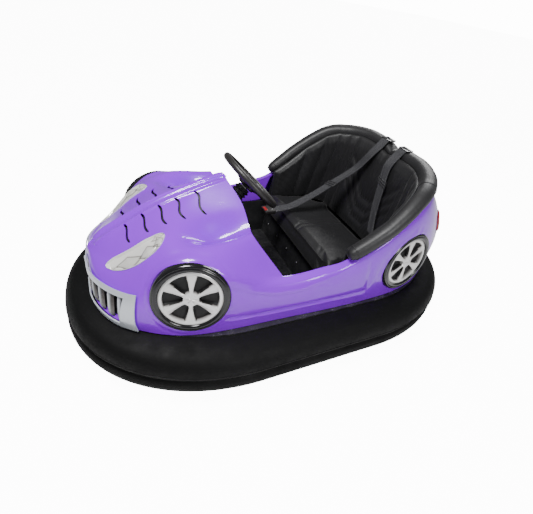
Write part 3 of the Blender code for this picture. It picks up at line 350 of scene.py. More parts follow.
def gelcoat():
    r = Recipe("violet_gelcoat", (0.27, 0.001, 0.82), 0.30, Specular_IOR_Level=0.25,
               Coat_Weight=1.0, Coat_Roughness=0.035,
               Coat_IOR=1.5, IOR=1.5)
    cloud = r.noise(2.2, 3.0)
    base = r.tint(r.span(cloud, 0.35, 0.65), (0.255, 0.0006, 0.80), (0.285, 0.002, 0.85))
    speck = r.span(r.noise(900.0, 2.0), 0.62, 0.72, 0.0, 0.18)
    base = r.over(speck, base, (0.33, 0.02, 0.92))
    dust = r.group(DUST, Top=0.36, Depth=0.30, Scale=22.0)
    base = r.over(r.math("MULTIPLY", dust.outputs["Mask"], number=0.06), base, (0.42, 0.30, 0.60))
    r.feed("Base Color", base)
    wear = r.group(WEAR, Scale=7.0, Amount=0.6)
    r.feed("Roughness", r.span(wear.outputs["Mask"], 0.0, 1.0, 0.28, 0.55))
    r.feed("Normal", r.bump(r.noise(42.0, 2.0), 0.035, 0.002))
    return r.mat


def silver_paint(name, light, dark, metallic, rough, shade=None):
    """Sprayed silver with metal flake; shade names an attribute of painted shade that darkens the folds."""
    r = Recipe(name, light, rough, metallic, Coat_Weight=0.7, Coat_Roughness=0.08)
    flake = r.span(r.noise(700.0, 2.0), 0.35, 0.65)
    base = r.tint(flake, tuple(c * 0.93 for c in light), light)
    wear = r.group(WEAR, Scale=16.0, Amount=0.7)
    if shade:
        base = r.over(r.attribute(shade), base, dark)
    base = r.over(r.math("MULTIPLY", wear.outputs["Mask"], number=0.45), base, dark)
    r.feed("Base Color", base)
    r.feed("Roughness", r.span(wear.outputs["Mask"], 0.0, 1.0, rough, rough + 0.25))
    r.feed("Normal", r.bump(r.noise(160.0, 3.0), 0.05, 0.001))
    return r.mat


def black_gloss():
    r = Recipe("gloss_black", (0.004, 0.004, 0.005), 0.16, Coat_Weight=0.8, Coat_Roughness=0.05,
               Specular_IOR_Level=0.3)
    wear = r.group(WEAR, Scale=14.0, Amount=0.8)
    r.feed("Base Color", r.tint(wear.outputs["Mask"], (0.004, 0.004, 0.005), (0.016, 0.016, 0.018)))
    r.feed("Roughness", r.span(r.noise(9.0, 4.0), 0.3, 0.7, 0.13, 0.26))
    r.feed("Normal", r.bump(r.noise(55.0, 3.0), 0.08, 0.002))
    return r.mat


def leather(name="leather_black", scale=330.0, crease=0.25):
    r = Recipe(name, (0.010, 0.010, 0.011), 0.46, Sheen_Weight=0.06, Sheen_Roughness=0.45)
    grain = r.group(GRAIN, Scale=scale, Softness=0.35)
    age = r.span(r.noise(5.0, 6.0), 0.35, 0.7)
    base = r.tint(age, (0.009, 0.009, 0.010), (0.019, 0.019, 0.021))
    base = r.over(r.span(grain.outputs["Pore"], 0.0, 0.5, 0.5, 0.0), base, (0.003, 0.003, 0.003))
    r.feed("Base Color", base)
    r.feed("Roughness", r.span(age, 0.0, 1.0, 0.52, 0.38))
    folds = r.bump(r.noise(26.0, 5.0, 0.6, r.place((1.0, 2.2, 1.4)), 0.8), crease, 0.003)
    r.feed("Normal", r.bump(grain.outputs["Height"], 0.22, 0.0006, folds))
    return r.mat


def moulded(name, color, rough, scale=240.0, strength=0.25, dusty=0.25):
    """Textured plastic or glass-fibre liner with a little dust in its low places."""
    r = Recipe(name, color, rough)
    grain = r.group(GRAIN, Scale=scale, Softness=0.6)
    dust = r.group(DUST, Top=0.5, Depth=0.5, Scale=18.0)
    base = r.tint(r.span(r.noise(4.0, 5.0), 0.3, 0.7), color, tuple(c * 1.6 + 0.002 for c in color))
    base = r.over(r.math("MULTIPLY", dust.outputs["Mask"], number=dusty), base, (0.10, 0.10, 0.10))
    r.feed("Base Color", base)
    r.feed("Roughness", r.span(grain.outputs["Pore"], 0.0, 1.0, rough + 0.12, rough))
    r.feed("Normal", r.bump(grain.outputs["Height"], strength, 0.0006))
    return r.mat


def bumper_rubber():
    r = Recipe("rubber_black", (0.003, 0.003, 0.003), 0.62, Specular_IOR_Level=0.16)
    streaks = r.noise(9.0, 7.0, 0.7, r.place((0.6, 0.6, 16.0)), 0.4)
    grime = r.span(streaks, 0.55, 0.80)
    dust = r.group(DUST, Top=0.30, Depth=0.45, Scale=30.0)
    base = r.tint(grime, (0.0022, 0.0022, 0.0024), (0.0050, 0.0050, 0.0052))
    base = r.over(r.math("MULTIPLY", dust.outputs["Mask"], number=0.05), base, (0.05, 0.048, 0.045))
    wear = r.group(WEAR, Scale=10.0, Amount=0.8)
    base = r.over(r.math("MULTIPLY", wear.outputs["Mask"], number=0.3), base, (0.016, 0.016, 0.016))
    r.feed("Base Color", base)
    r.feed("Roughness", r.span(r.noise(12.0, 6.0, 0.65), 0.3, 0.7, 0.50, 0.74))
    skin = r.bump(r.noise(260.0, 4.0, 0.7), 0.30, 0.0012)
    r.feed("Normal", r.bump(streaks, 0.22, 0.003, skin))
    return r.mat


def tread_rubber():
    r = Recipe("tyre_black", (0.016, 0.016, 0.016), 0.72)
    dust = r.group(DUST, Top=0.16, Depth=0.16, Scale=40.0)
    base = r.tint(r.span(r.noise(30.0, 5.0), 0.35, 0.65), (0.013, 0.013, 0.013), (0.026, 0.025, 0.024))
    settled = r.math("MULTIPLY", dust.outputs["Mask"], number=0.5)
    r.feed("Base Color", r.over(settled, base, (0.12, 0.11, 0.10)))
    r.feed("Normal", r.bump(r.noise(220.0, 4.0), 0.3, 0.001))
    return r.mat


def webbing():
    """Woven belt: ribs along and across the belt's own UV, metres each way."""
    r = Recipe("webbing_black", (0.012, 0.012, 0.014), 0.55, Sheen_Weight=0.25, Sheen_Roughness=0.4)
    parts = r.node("ShaderNodeSeparateXYZ")
    r.wire(r.coords.outputs["UV"], parts, "Vector")
    across = r.math("SINE", r.math("MULTIPLY", parts.outputs["X"], number=2600.0))
    along = r.math("SINE", r.math("MULTIPLY", parts.outputs["Y"], number=1900.0))
    weave = r.math("MULTIPLY", across, along)
    rib = r.math("ADD", weave, across)
    fuzz = r.noise(500.0, 3.0)
    base = r.tint(r.span(weave, -1.0, 1.0), (0.009, 0.009, 0.011), (0.034, 0.034, 0.040))
    r.feed("Base Color", r.over(r.span(fuzz, 0.5, 0.75, 0.0, 0.35), base, (0.05, 0.05, 0.06)))
    r.feed("Normal", r.bump(rib, 0.5, 0.0005))
    return r.mat


def bare_metal(name, color, rough, brushed=(30.0, 30.0, 600.0), rust=0.15):
    r = Recipe(name, color, rough, 0.95)
    hair = r.noise(1.0, 3.0, 0.6, r.place(brushed))
    base = r.tint(r.span(hair, 0.3, 0.7), tuple(c * 0.8 for c in color), color)
    stain = r.span(r.noise(18.0, 6.0, 0.7), 0.60, 0.78, 0.0, rust)
    r.feed("Base Color", r.over(stain, base, (0.16, 0.075, 0.035)))
    r.feed("Roughness", r.span(hair, 0.3, 0.7, rough - 0.06, rough + 0.16))
    r.feed("Normal", r.bump(hair, 0.08, 0.0008))
    return r.mat


def painted_metal(name, color, rough, chip=(0.30, 0.30, 0.31)):
    r = Recipe(name, color, rough, 0.1)
    wear = r.group(WEAR, Scale=20.0, Amount=0.9)
    dust = r.group(DUST, Top=0.24, Depth=0.2, Scale=26.0)
    base = r.tint(wear.outputs["Mask"], color, chip)
    settled = r.math("MULTIPLY", dust.outputs["Mask"], number=0.35)
    r.feed("Base Color", r.over(settled, base, (0.14, 0.13, 0.12)))
    r.feed("Roughness", r.span(r.noise(34.0, 4.0), 0.3, 0.7, rough - 0.08, rough + 0.12))
    r.feed("Normal", r.bump(r.noise(120.0, 4.0), 0.12, 0.001))
    return r.mat


def red_plastic(name, color):
    r = Recipe(name, color, 0.14, Coat_Weight=0.6, Coat_Roughness=0.04)
    ribs = r.math("SINE", r.math("MULTIPLY", r.noise(60.0, 2.0), number=6.0))
    r.feed("Base Color", r.tint(r.span(ribs, -1.0, 1.0), tuple(c * 0.75 for c in color), color))
    r.feed("Roughness", r.span(r.noise(40.0, 4.0), 0.3, 0.7, 0.10, 0.24))
    return r.mat


def plain_dark(name, color, rough):
    r = Recipe(name, color, rough)
    r.feed("Base Color", r.tint(r.span(r.noise(40.0, 4.0), 0.3, 0.7), color, tuple(c * 1.8 for c in color)))
    r.feed("Normal", r.bump(r.noise(180.0, 3.0), 0.15, 0.0008))
    return r.mat


VIOLET = gelcoat()
# The dark colour of each silver is the painted shade in its folds and also the colour of its worn scuffs.
LAMP_SILVER = silver_paint("lamp_silver", (0.80, 0.79, 0.76), (0.075, 0.062, 0.050), 0.10, 0.20, "fold")
RIM_SILVER = silver_paint("rim_silver", (0.84, 0.83, 0.82), (0.07, 0.06, 0.055), 0.25, 0.20, "fold")
GRILLE_SILVER = silver_paint("grille_silver", (0.66, 0.70, 0.76), (0.06, 0.052, 0.045), 0.35, 0.24, "fold")
GLOSS_BLACK = black_gloss()
LEATHER = leather()
ROLL_LEATHER = leather("roll_leather", 300.0, 0.32)
LINER = moulded("liner_black", (0.006, 0.006, 0.007), 0.50)
MAT_RUBBER = moulded("floor_mat_rubber", (0.010, 0.010, 0.011), 0.62, 160.0, 0.35, 0.4)
WHEEL_PLASTIC = moulded("wheel_grip_black", (0.010, 0.009, 0.009), 0.34, 420.0, 0.14, 0.0)
BELLOWS_RUBBER = moulded("bellows_rubber", (0.006, 0.006, 0.006), 0.42, 380.0, 0.18, 0.1)
RUBBER = bumper_rubber()
TREAD = tread_rubber()
WEBBING = webbing()
STEEL = bare_metal("steel_bright", (0.52, 0.52, 0.54), 0.30)
ALLOY = bare_metal("cast_alloy", (0.60, 0.60, 0.61), 0.42, (180.0, 180.0, 180.0), 0.05)
FRAME_PAINT = painted_metal("steel_painted", (0.020, 0.020, 0.022), 0.42)
MOTOR_PAINT = painted_metal("motor_paint", (0.035, 0.037, 0.040), 0.40)
BATTERY_CASE = moulded("lead_battery", (0.012, 0.012, 0.013), 0.45, 200.0, 0.2, 0.5)
RED_LENS = red_plastic("red_lens", (0.42, 0.006, 0.012))
RED_BUTTON = red_plastic("button_red", (0.50, 0.010, 0.015))
# Plain black for the tail gasket, grille back and wheel windows, and as painted shade under the louvre slots.
BLACK_TRIM_AND_SHADE = plain_dark("black_trim_and_painted_shade", (0.0025, 0.0025, 0.0027), 0.55)
THREAD = plain_dark("seam_thread", (0.030, 0.030, 0.033), 0.60)


# ---------------------------------------------------------------- mesh kit
def keep(name, bm, body, mats, sharp=38.0, stands_for=(), weld=1e-5):
    """Turns a finished bmesh into a piece of the car that rides on its body."""
    if weld:
        bmesh.ops.remove_doubles(bm, verts=bm.verts, dist=weld)
    bmesh.ops.recalc_face_normals(bm, faces=bm.faces)
    mesh = bpy.data.meshes.new(name)
    bm.to_mesh(mesh)
    bm.free()
    mesh.shade_smooth()
    mesh.set_sharp_from_angle(angle=math.radians(sharp))
    obj = bpy.data.objects.new(name, mesh)
    for mat in mats if isinstance(mats, (list, tuple)) else (mats,):
        mesh.materials.append(mat)
    SCENE.collection.objects.link(obj)
    if body:
        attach(obj, body)
    if stands_for:
        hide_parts(*stands_for)
    return obj


def settle_shape(obj, sharp=38.0):
    """Makes the object's modifiers part of its mesh."""
    bpy.context.view_layer.update()
    view = bpy.context.evaluated_depsgraph_get()
    mesh = bpy.data.meshes.new_from_object(obj.evaluated_get(view))
    obj.modifiers.clear()
    old = obj.data
    obj.data = mesh
    bpy.data.meshes.remove(old)
    mesh.name = obj.name
    mesh.shade_smooth()
    mesh.set_sharp_from_angle(angle=math.radians(sharp))
    return obj


def woven(bm, rows, columns, place, shade=None, where=None):
    """Grid of cells whose corners are set by place(i, j) and whose painted shade is shade(i, j)."""
    if shade:
        fold = bm.verts.layers.float.get("fold") or bm.verts.layers.float.new("fold")
    made = bmesh.ops.create_grid(bm, x_segments=rows, y_segments=columns, size=1.0)["verts"]
    for v in made:
        i = round((v.co.x + 1.0) * 0.5 * rows)
        j = round((v.co.y + 1.0) * 0.5 * columns)
        v.co = place(i, j)
        if shade:
            v[fold] = shade(i, j)
        if where is not None:
            where[v] = (i, j)
    return made


def aim(origin, axis, side=(0, 0, 1)):
    """Frame at origin whose local Z runs along axis."""
    z = Vector(axis).normalized()
    x = Vector(side).cross(z)
    if x.length < 1e-6:
        x = Vector((1, 0, 0))
    x.normalize()
    return Matrix.Translation(Vector(origin)) @ Matrix((x, z.cross(x), z)).transposed().to_4x4()


def spun(bm, profile, place, segments=64, closed=True):
    """Turns a (radius, height) profile round the local Z of place."""
    start = [bm.verts.new((r, 0.0, h)) for r, h in profile]
    pairs = list(zip(start[:-1], start[1:]))
    if closed:
        pairs.append((start[-1], start[0]))
    edges = [bm.edges.new(p) for p in pairs]
    geom = start + edges
    before = set(bm.verts)
    bmesh.ops.spin(bm, geom=geom, cent=(0, 0, 0), axis=(0, 0, 1), angle=2 * math.pi,
                   steps=segments, use_merge=True, use_duplicate=False)
    verts = list(set(start) | (set(bm.verts) - before))
    bmesh.ops.remove_doubles(bm, verts=verts, dist=1e-6)
    verts = [v for v in verts if v.is_valid]
    bmesh.ops.transform(bm, matrix=place, verts=verts)
    return verts


def bolt_head(bm, place, radius=0.008, height=0.006):
    """Hexagon head on a washer."""
    washer = bmesh.ops.create_cone(bm, cap_ends=True, segments=20, radius1=radius * 1.35,
                                   radius2=radius * 1.35, depth=height * 0.3)["verts"]
    bmesh.ops.translate(bm, verts=washer, vec=(0, 0, height * 0.15))
    head = bmesh.ops.create_cone(bm, cap_ends=True, segments=6, radius1=radius, radius2=radius * 0.93,
                                 depth=height)["verts"]
    bmesh.ops.translate(bm, verts=head, vec=(0, 0, height * 0.8))
    bmesh.ops.transform(bm, matrix=place, verts=washer + head)


def curve(knots, where, steady=False):
    """Smooth curve through the knots, one unit each; a steady one never swings past them."""
    knots = np.asarray(knots, float)
    last = len(knots) - 1
    step = np.diff(knots, axis=0)
    slope = np.empty_like(knots)
    slope[0] = step[0]
    slope[-1] = step[-1]
    if steady:
        a, b = step[:-1], step[1:]
        agree = a * b > 0
        slope[1:-1] = np.where(agree, 2 * a * b / np.where(agree, a + b, 1.0), 0.0)
    else:
        slope[1:-1] = 0.5 * (step[:-1] + step[1:])
    where = np.asarray(where, float)
    k = np.clip(where.astype(int), 0, last - 1)
    f = (where - k).reshape(-1, *([1] * (knots.ndim - 1)))
    f2, f3 = f * f, f * f * f
    return ((2 * f3 - 3 * f2 + 1) * knots[k] + (f3 - 2 * f2 + f) * slope[k]
            + (3 * f2 - 2 * f3) * knots[k + 1] + (f3 - f2) * slope[k + 1])


def ramp(x, low, high):
    f = np.clip((x - low) / (high - low), 0.0, 1.0)
    return f * f * (3 - 2 * f)


# ---------------------------------------------------------------- lines of the body moulding
# Left half of the skin in millimetres above the moulding's base, from the bonnet
# centre (or the cockpit edge) down to the base, one line after another nose to tail.
BASE_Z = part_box("body_shell")[0].z
NOSE_LINES = [
    [(0, -828, 204), (0, -833, 200), (0, -842, 191), (0, -848, 181), (0, -851, 172),
     (0, -853, 156), (0, -856, 119), (0, -857, 79), (0, -857, 41), (0, -853, 0)],
    [(0, -772, 238), (30, -773, 238), (66, -785, 212), (88, -800, 191), (105, -818, 174),
     (118, -832, 154), (127, -843, 119), (131, -848, 79), (134, -850, 41), (135, -846, 0)],
    [(0, -700, 281), (30, -700, 281), (115, -706, 254), (163, -720, 229), (198, -737, 198),
     (222, -757, 159), (238, -777, 119), (245, -790, 79), (249, -797, 41), (250, -793, 0)],
    [(0, -630, 322), (30, -630, 322), (125, -636, 299), (203, -645, 287), (258, -655, 256),
     (305, -670, 196), (319, -686, 146), (327, -699, 95), (330, -706, 44), (328, -703, 0)],
    [(0, -550, 361), (30, -550, 361), (128, -552, 337), (207, -556, 322), (288, -560, 309),
     (343, -566, 284), (358, -572, 210), (371, -577, 135), (383, -580, 65), (386, -580, 0)],
    [(0, -405, 415), (30, -405, 415), (130, -408, 352), (207, -410, 277), (290, -415, 326),
     (378, -420, 266), (398, -424, 190), (408, -428, 124), (412, -430, 62), (411, -430, 0)],
    [(0, -302, 442), (30, -312, 444), (130, -280, 390), (213, -272, 330), (281, -276, 324),
     (366, -175, 190), (398, -168, 176), (417, -160, 120), (422, -155, 60), (420, -150, 0)],
]
SIDE_LINES = [
    [(374, 0, 206), (404, 0, 200), (424, 0, 140), (429, 0, 70), (426, 0, 0)],
    [(384, 110, 236), (411, 110, 232), (428, 115, 160), (432, 118, 80), (428, 120, 0)],
    [(388, 265, 342), (421, 266, 338), (433, 270, 236), (434, 270, 120), (427, 270, 0)],
    [(348, 402, 443), (382, 420, 439), (410, 434, 306), (419, 444, 150), (413, 450, 0)],
    [(280, 482, 468), (313, 518, 464), (352, 586, 326), (367, 616, 160), (365, 620, 0)],
    [(185, 524, 483), (214, 576, 478), (252, 702, 336), (266, 770, 165), (264, 782, 0)],
    [(92, 532, 483), (107, 596, 478), (126, 746, 336), (133, 828, 165), (133, 845, 0)],
    [(0, 534, 480), (0, 600, 476), (0, 756, 336), (0, 842, 165), (0, 856, 0)],
]
COWL = len(NOSE_LINES) - 1
TAIL = COWL + len(SIDE_LINES)
EDGE = 5


def skin_grid(ts, ss):
    """Skin points in metres for every line number and column number: array t x s x 3."""
    ts = np.asarray(ts, float)
    ss = np.asarray(ss, float)
    nose = np.array(NOSE_LINES, float)
    tail = np.array(SIDE_LINES, float)
    inner = curve(nose[:, :EDGE], np.minimum(ts, COWL))
    outer = curve(np.concatenate([nose[:, EDGE:], tail]), ts)
    out = np.empty((len(ts), len(ss), 3))
    for k, t in enumerate(ts):
        free = curve(np.concatenate([inner[k], outer[k]]), ss)
        held = curve(outer[k], np.clip(ss - EDGE, 0, 4), steady=True)
        share = float(ramp(t, COWL - 0.5, COWL))
        mixed = free * (1 - share) + held * share
        out[k] = np.where((ss >= EDGE)[:, None], mixed, free)
    out[..., 0] = np.maximum(out[..., 0], 0.0)
    out *= MM
    out[..., 2] += BASE_Z
    return out


def skin_point(t, s):
    return Vector(skin_grid([t], [s])[0, 0])


def outward(ts, ss):
    """Unit normals of the skin at the same grid, pointing out of the car."""
    e = 0.02
    ts = np.asarray(ts, float)
    ss = np.asarray(ss, float)
    low_s = 0.0 if ts.max() <= COWL + 1e-9 else float(EDGE)
    du = skin_grid(np.minimum(ts + e, TAIL - 1e-6), ss) - skin_grid(np.maximum(ts - e, 0), ss)
    dv = skin_grid(ts, np.minimum(ss + e, 9 - 1e-6)) - skin_grid(ts, np.maximum(ss - e, low_s))
    n = np.cross(dv, du)
    n[(ts < 1e-3) | (ts > TAIL - 0.01), :, 0] = 0.0
    n[:, ss < 1e-3, 0] = 0.0
    return n / np.maximum(np.linalg.norm(n, axis=2, keepdims=True), 1e-12)


def skin_normal(t, s):
    return Vector(outward([t], [s])[0, 0])


# ---------------------------------------------------------------- false wheel places
WHEELS = [
    ("front", 1, (0.370, -0.538, 0.420), -15.5, 10.0),
    ("front", -1, (0.370, -0.538, 0.420), -15.5, 10.0),
    ("rear", 1, (0.415, 0.431, 0.441), 7.7, 6.0),
    ("rear", -1, (0.415, 0.431, 0.441), 7.7, 6.0),
]
DISC_RADIUS = 0.143
DISC_RIM = 0.114


def wheel_frame(side, spot, swing, lean):
    sw = math.radians(swing)
    le = math.radians(lean)
    axis = Vector((side * math.cos(le) * math.cos(sw), math.cos(le) * math.sin(sw), math.sin(le)))
    return aim((side * spot[0], spot[1], spot[2]), axis)


def side_word(side):
    return "left" if side > 0 else "right"


# ---------------------------------------------------------------- body skin with its pressed detail
def along_line(line, ts):
    """Column number of a drawn line at each t, and nan past its ends."""
    line = np.array(line, float)
    s = np.interp(ts, line[:, 0], line[:, 1])
    return np.where((ts >= line[0, 0]) & (ts <= line[-1, 0]), s, np.nan)


SWOOSH = [
    (5.02, 5.35), (5.2, 5.7), (5.45, 6.2), (5.8, 6.62),
    (6.3, 6.70), (7.0, 6.55), (7.7, 6.38), (8.4, 6.20),
]
SILL_GROOVE = [(5.0, 7.92), (5.64, 8.04), (6.36, 8.04), (7.8, 8.12), (8.78, 8.36)]
DENT = [(8.50, 6.45), (8.60, 7.0), (8.66, 7.6), (8.74, 8.15)]


def pressed(ts, ss, spots):
    """Height added to the skin: ridges, creases, grooves and arch lips, in metres."""
    lift = np.zeros((len(ts), len(ss)))
    t = np.asarray(ts)[:, None]
    s = np.asarray(ss)[None, :]
    x = spots[..., 0] / MM
    z = spots[..., 2]
    if ts[0] < COWL - 1e-6:
        fade = ramp(z, 0.425, 0.462) * ramp(6.02 - t, 0.0, 0.25) * (s < 2.0)
        lift += fade * (5.0 * np.exp(-((x - 27) / 5.5) ** 2) - 4.5 * np.exp(-(x / 13.0) ** 4))
        inside = ramp(2.52 - t, 0.0, 0.05) * ramp(s, 5.86, 5.98) * ramp(8.42 - s, 0.0, 0.12)
        lift -= 16.0 * inside
    crease = along_line(SWOOSH, ts)[:, None]
    gap = (s - crease) * 78.0
    ends = ramp(t, 5.02, 5.35) * ramp(8.4 - t, 0.0, 1.1)
    ledge = np.where(gap < 0, np.exp(gap / 34.0), np.exp(-gap / 4.0))
    lift += np.nan_to_num(3.4 * ledge * ends)
    groove = along_line(SILL_GROOVE, ts)[:, None]
    off = (s - groove) * 62.0
    ends = ramp(t, 5.0, 5.15) * ramp(8.80 - t, 0.0, 0.05)
    lift += np.nan_to_num((-5.0 * np.exp(-(off / 6.0) ** 2) + 2.6 * np.exp(-((off - 11) / 6.0) ** 2)) * ends)
    line = np.array(DENT)
    t_dent = np.interp(s, line[:, 1], line[:, 0])
    across = (t - t_dent) * 160.0
    tall = ramp(s, 6.35, 6.9) * ramp(8.3 - s, 0.0, 0.12)
    shape = np.where(across < 0, np.exp(-(across / 5.0) ** 2), np.exp(-(across / 16.0) ** 2))
    lift -= 5.0 * shape * tall
    for word, side, spot, swing, lean in WHEELS:
        if side < 0:
            continue
        place = wheel_frame(side, spot, swing, lean)
        axis = np.array(place.to_3x3().col[2])
        off = spots - np.array(place.translation)
        deep = off @ axis
        radius = np.linalg.norm(off - deep[..., None] * axis, axis=2) / MM
        lip = np.exp(-((radius - 151.0) / 6.0) ** 2) - 0.7 * np.exp(-((radius - 163.0) / 5.0) ** 2)
        lift += 2.8 * lip * (np.abs(deep) < 0.09)
    base = ramp(s, 8.90, 9.0)
    return lift * (1 - base) * MM


def spaced(*runs):
    """Joined (start, end, cells) runs without repeated ends."""
    out = [runs[0][0]]
    for start, end, cells in runs:
        out += [start + (end - start) * k / cells for k in range(1, cells + 1)]
    return out


def pressed_sheet(bm, ts, ss, side):
    spots = skin_grid(ts, ss)
    lift = pressed(ts, ss, spots)
    done = spots + outward(ts, ss) * lift[..., None]
    done[..., 0] = np.where(spots[..., 0] < 1e-6, 0.0, np.maximum(done[..., 0], 0.0)) * side
    woven(bm, len(ts) - 1, len(ss) - 1, lambda i, j: done[i, j])


def lip_depth(t):
    """Height of the lower edge of the lip inside the cockpit edge."""
    door = 0.341
    edge = float(skin_grid([t], [5.0])[0, 0, 2])
    if t < 7.75:
        return door + (0.02 if t < 6.5 else 0.0)
    return max(edge - 0.014, door)


def body_skin():
    bm = bmesh.new()
    nose_t = spaced((0.0, 0.5, 8), (0.5, 6.0, 84))
    nose_s = spaced((0.0, 1.4, 30), (1.4, 9.0, 72))
    side_t = spaced((6.0, 9.0, 50), (9.0, 14.0, 60))
    side_t[-1] = TAIL - 1e-6
    side_s = [s for s in nose_s if s >= 5.0 - 1e-6]
    if abs(side_s[0] - 5.0) > 1e-6:
        side_s = [5.0] + side_s
    nose_s = sorted(set([s for s in nose_s if s < 5.0 - 1e-6] + side_s))
    for side in (1, -1):
        pressed_sheet(bm, nose_t, nose_s, side)
        pressed_sheet(bm, side_t, side_s, side)
        tops = skin_grid(side_t, [5.0])[:, 0]
        lows = [lip_depth(t) for t in side_t]
        smooth = np.convolve(np.pad(lows, 3, mode="edge"), np.ones(7) / 7, mode="valid")

        def lip(i, j, side=side, tops=tops, smooth=smooth):
            x, y, z = tops[i]
            return (x * side, y, z + (min(smooth[i], z - 0.012) - z) * j / 3)

        woven(bm, len(side_t) - 1, 3, lip)
        cowl_s = [s for s in nose_s if s <= 5.0 + 1e-6]
        rim = skin_grid([6.0], cowl_s)[0]
        lift = pressed([5.999], cowl_s, rim[None])[0]
        rim = rim + outward([6.0], cowl_s)[0] * lift[:, None]

        def cowl(i, j, side=side, rim=rim):
            x, y, z = rim[i]
            x = 0.0 if x < 1e-6 else x
            return (x * side * (1 - 0.004 * j), y - 0.0035 * j, z - 0.0050 * j)

        woven(bm, len(cowl_s) - 1, 3, cowl)
    bmesh.ops.remove_doubles(bm, verts=bm.verts, dist=2e-5)
    bmesh.ops.dissolve_degenerate(bm, dist=1e-6, edges=bm.edges)
    obj = keep("body_skin", bm, None, [VIOLET], sharp=48.0, weld=None)
    return obj


LAMP_EDGES = [
    ((1.34, 3.92), (1.42, 4.14)), ((1.38, 3.48), (1.62, 4.18)), ((1.54, 3.00), (1.90, 4.07)),
    ((1.90, 2.60), (2.25, 3.90)), ((2.34, 2.42), (2.65, 3.76)), ((2.84, 2.38), (3.02, 3.54)),
    ((3.26, 2.40), (3.42, 3.24)), ((3.52, 2.46), (3.60, 2.98)), ((3.66, 2.58), (3.68, 2.76)),
]
LAMP_WAY = skin_normal(2.6, 3.2)
LAMP_LAST = len(LAMP_EDGES) - 1


def lamp_spot(u, v, grow=0.0):
    """Skin point inside the lamp outline: u from its nose tip to its far tip, v top to bottom."""
    ends = curve(np.array(LAMP_EDGES, float), [min(max(u, 0.0), LAMP_LAST - 1e-6)])[0]
    (t0, s0), (t1, s1) = ends
    s0 -= grow
    s1 += grow
    t = t0 + (t1 - t0) * v + (-grow if u <= 0 else grow if u >= LAMP_LAST - 1e-5 else 0.0)
    return skin_point(t, s0 + (s1 - s0) * v)


def close_ends(bm):
    """Caps every open loop of the mesh."""
    rims = [e for e in bm.edges if e.is_boundary]
    if rims:
        bmesh.ops.holes_fill(bm, edges=rims, sides=0)


def cutter_lamp(bm, side):
    rows, cols = 32, 8
    for depth in (-0.024, 0.024):
        def spot(i, j, depth=depth):
            p = lamp_spot(i * LAMP_LAST / rows, j / cols, 0.010) + LAMP_WAY * depth
            return (p.x * side, p.y, p.z)
        woven(bm, rows, cols, spot)
    rims = [e for e in bm.edges if e.is_boundary]
    bmesh.ops.bridge_loops(bm, edges=rims)


SLOT_TOPS = [(1.88, 0.98), (2.80, 0.95), (3.68, 0.97), (4.24, 1.0), (4.72, 1.03)]
SLOT_FEET = [(2.06, 2.02), (3.02, 2.02), (3.84, 2.08), (4.40, 2.02), (4.92, 1.98)]
SLOT_HALF = 0.0048


def cutter_slot(bm, k, side):
    """Wavy louvre slot from beside the ridge down the bonnet."""
    (t0, s0), (t1, s1) = SLOT_TOPS[k], SLOT_FEET[k]
    steps = 18
    path, ups = [], []
    for i in range(steps + 1):
        f = i / steps
        sway = 0.055 * math.sin(2 * math.pi * f) - 0.02 * math.sin(math.pi * f)
        t = t0 + (t1 - t0) * f + sway
        s = s0 + (s1 - s0) * f
        path.append(skin_point(t, s))
        ups.append(skin_normal(t, s))
    def spot(i, j):
        a = path[max(i - 1, 0)]
        b = path[min(i + 1, steps)]
        wide = ups[i].cross((b - a).normalized()).normalized()
        f = abs(2 * i / steps - 1)
        half = SLOT_HALF * math.sqrt(max(1 - f ** 10, 0.10))
        sign, depth = ((-1, -1), (-1, 1), (1, 1), (1, -1), (-1, -1))[j]
        p = path[i] + wide * half * sign + ups[i] * 0.012 * depth
        return (p.x * side, p.y, p.z)

    made = woven(bm, steps, 4, spot)
    bmesh.ops.remove_doubles(bm, verts=made, dist=1e-6)


def cut_openings(skin):
    """Wheel discs, lamps and louvres are cut through the moulding in one go."""
    bm = bmesh.new()
    for word, side, spot, swing, lean in WHEELS:
        place = wheel_frame(side, spot, swing, lean)
        drum = bmesh.ops.create_cone(bm, cap_ends=True, segments=96, radius1=DISC_RADIUS + 0.0005,
                                     radius2=DISC_RADIUS + 0.0005, depth=0.15)["verts"]
        bmesh.ops.transform(bm, matrix=place, verts=drum)
    close_ends(bm)
    for side in (1, -1):
        part = bmesh.new()
        cutter_lamp(part, side)
        for k in range(len(SLOT_TOPS)):
            cutter_slot(part, k, side)
        close_ends(part)
        lump = bpy.data.meshes.new("lump")
        part.to_mesh(lump)
        part.free()
        bm.from_mesh(lump)
        bpy.data.meshes.remove(lump)
    tool = keep("opening_tool", bm, None, [VIOLET])
    wall = skin.modifiers.new("wall", "SOLIDIFY")
    wall.thickness = 0.004
    wall.offset = -1.0
    wall.use_even_offset = False
    holes = skin.modifiers.new("holes", "BOOLEAN")
    holes.operation = "DIFFERENCE"
    holes.solver = "EXACT"
    holes.object = tool
    settle_shape(skin, 42.0)
    bpy.data.objects.remove(tool, do_unlink=True)


skin = body_skin()
cut_openings(skin)
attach(skin, "chassis")
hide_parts("body_shell")


# ---------------------------------------------------------------- black sheet under the louvres, painted shade inside the slots
def follow(t, s, lift, side=1):
    p = skin_point(t, s) + skin_normal(t, s) * lift
    return Vector((max(p.x, 0.0) * side, p.y, p.z))


def louvre_shade_sheet():
    bm = bmesh.new()
    for side in (1, -1):
        def spot(i, j, side=side):
            t = 1.65 + 3.5 * i / 40
            s = 0.80 + 1.50 * j / 12
            return follow(t, s, -0.0115, side)
        woven(bm, 40, 12, spot)
    obj = keep("louvre_shade_sheet", bm, "chassis", BLACK_TRIM_AND_SHADE)
    wall = obj.modifiers.new("wall", "SOLIDIFY")
    wall.thickness = 0.002
    settle_shape(obj)


louvre_shade_sheet()


# ---------------------------------------------------------------- grille
def bar_edge(f):
    """How far a louvre edge leans from its top to its foot, in lines."""
    return 0.20 * f + 0.05 * math.sin(math.pi * f)


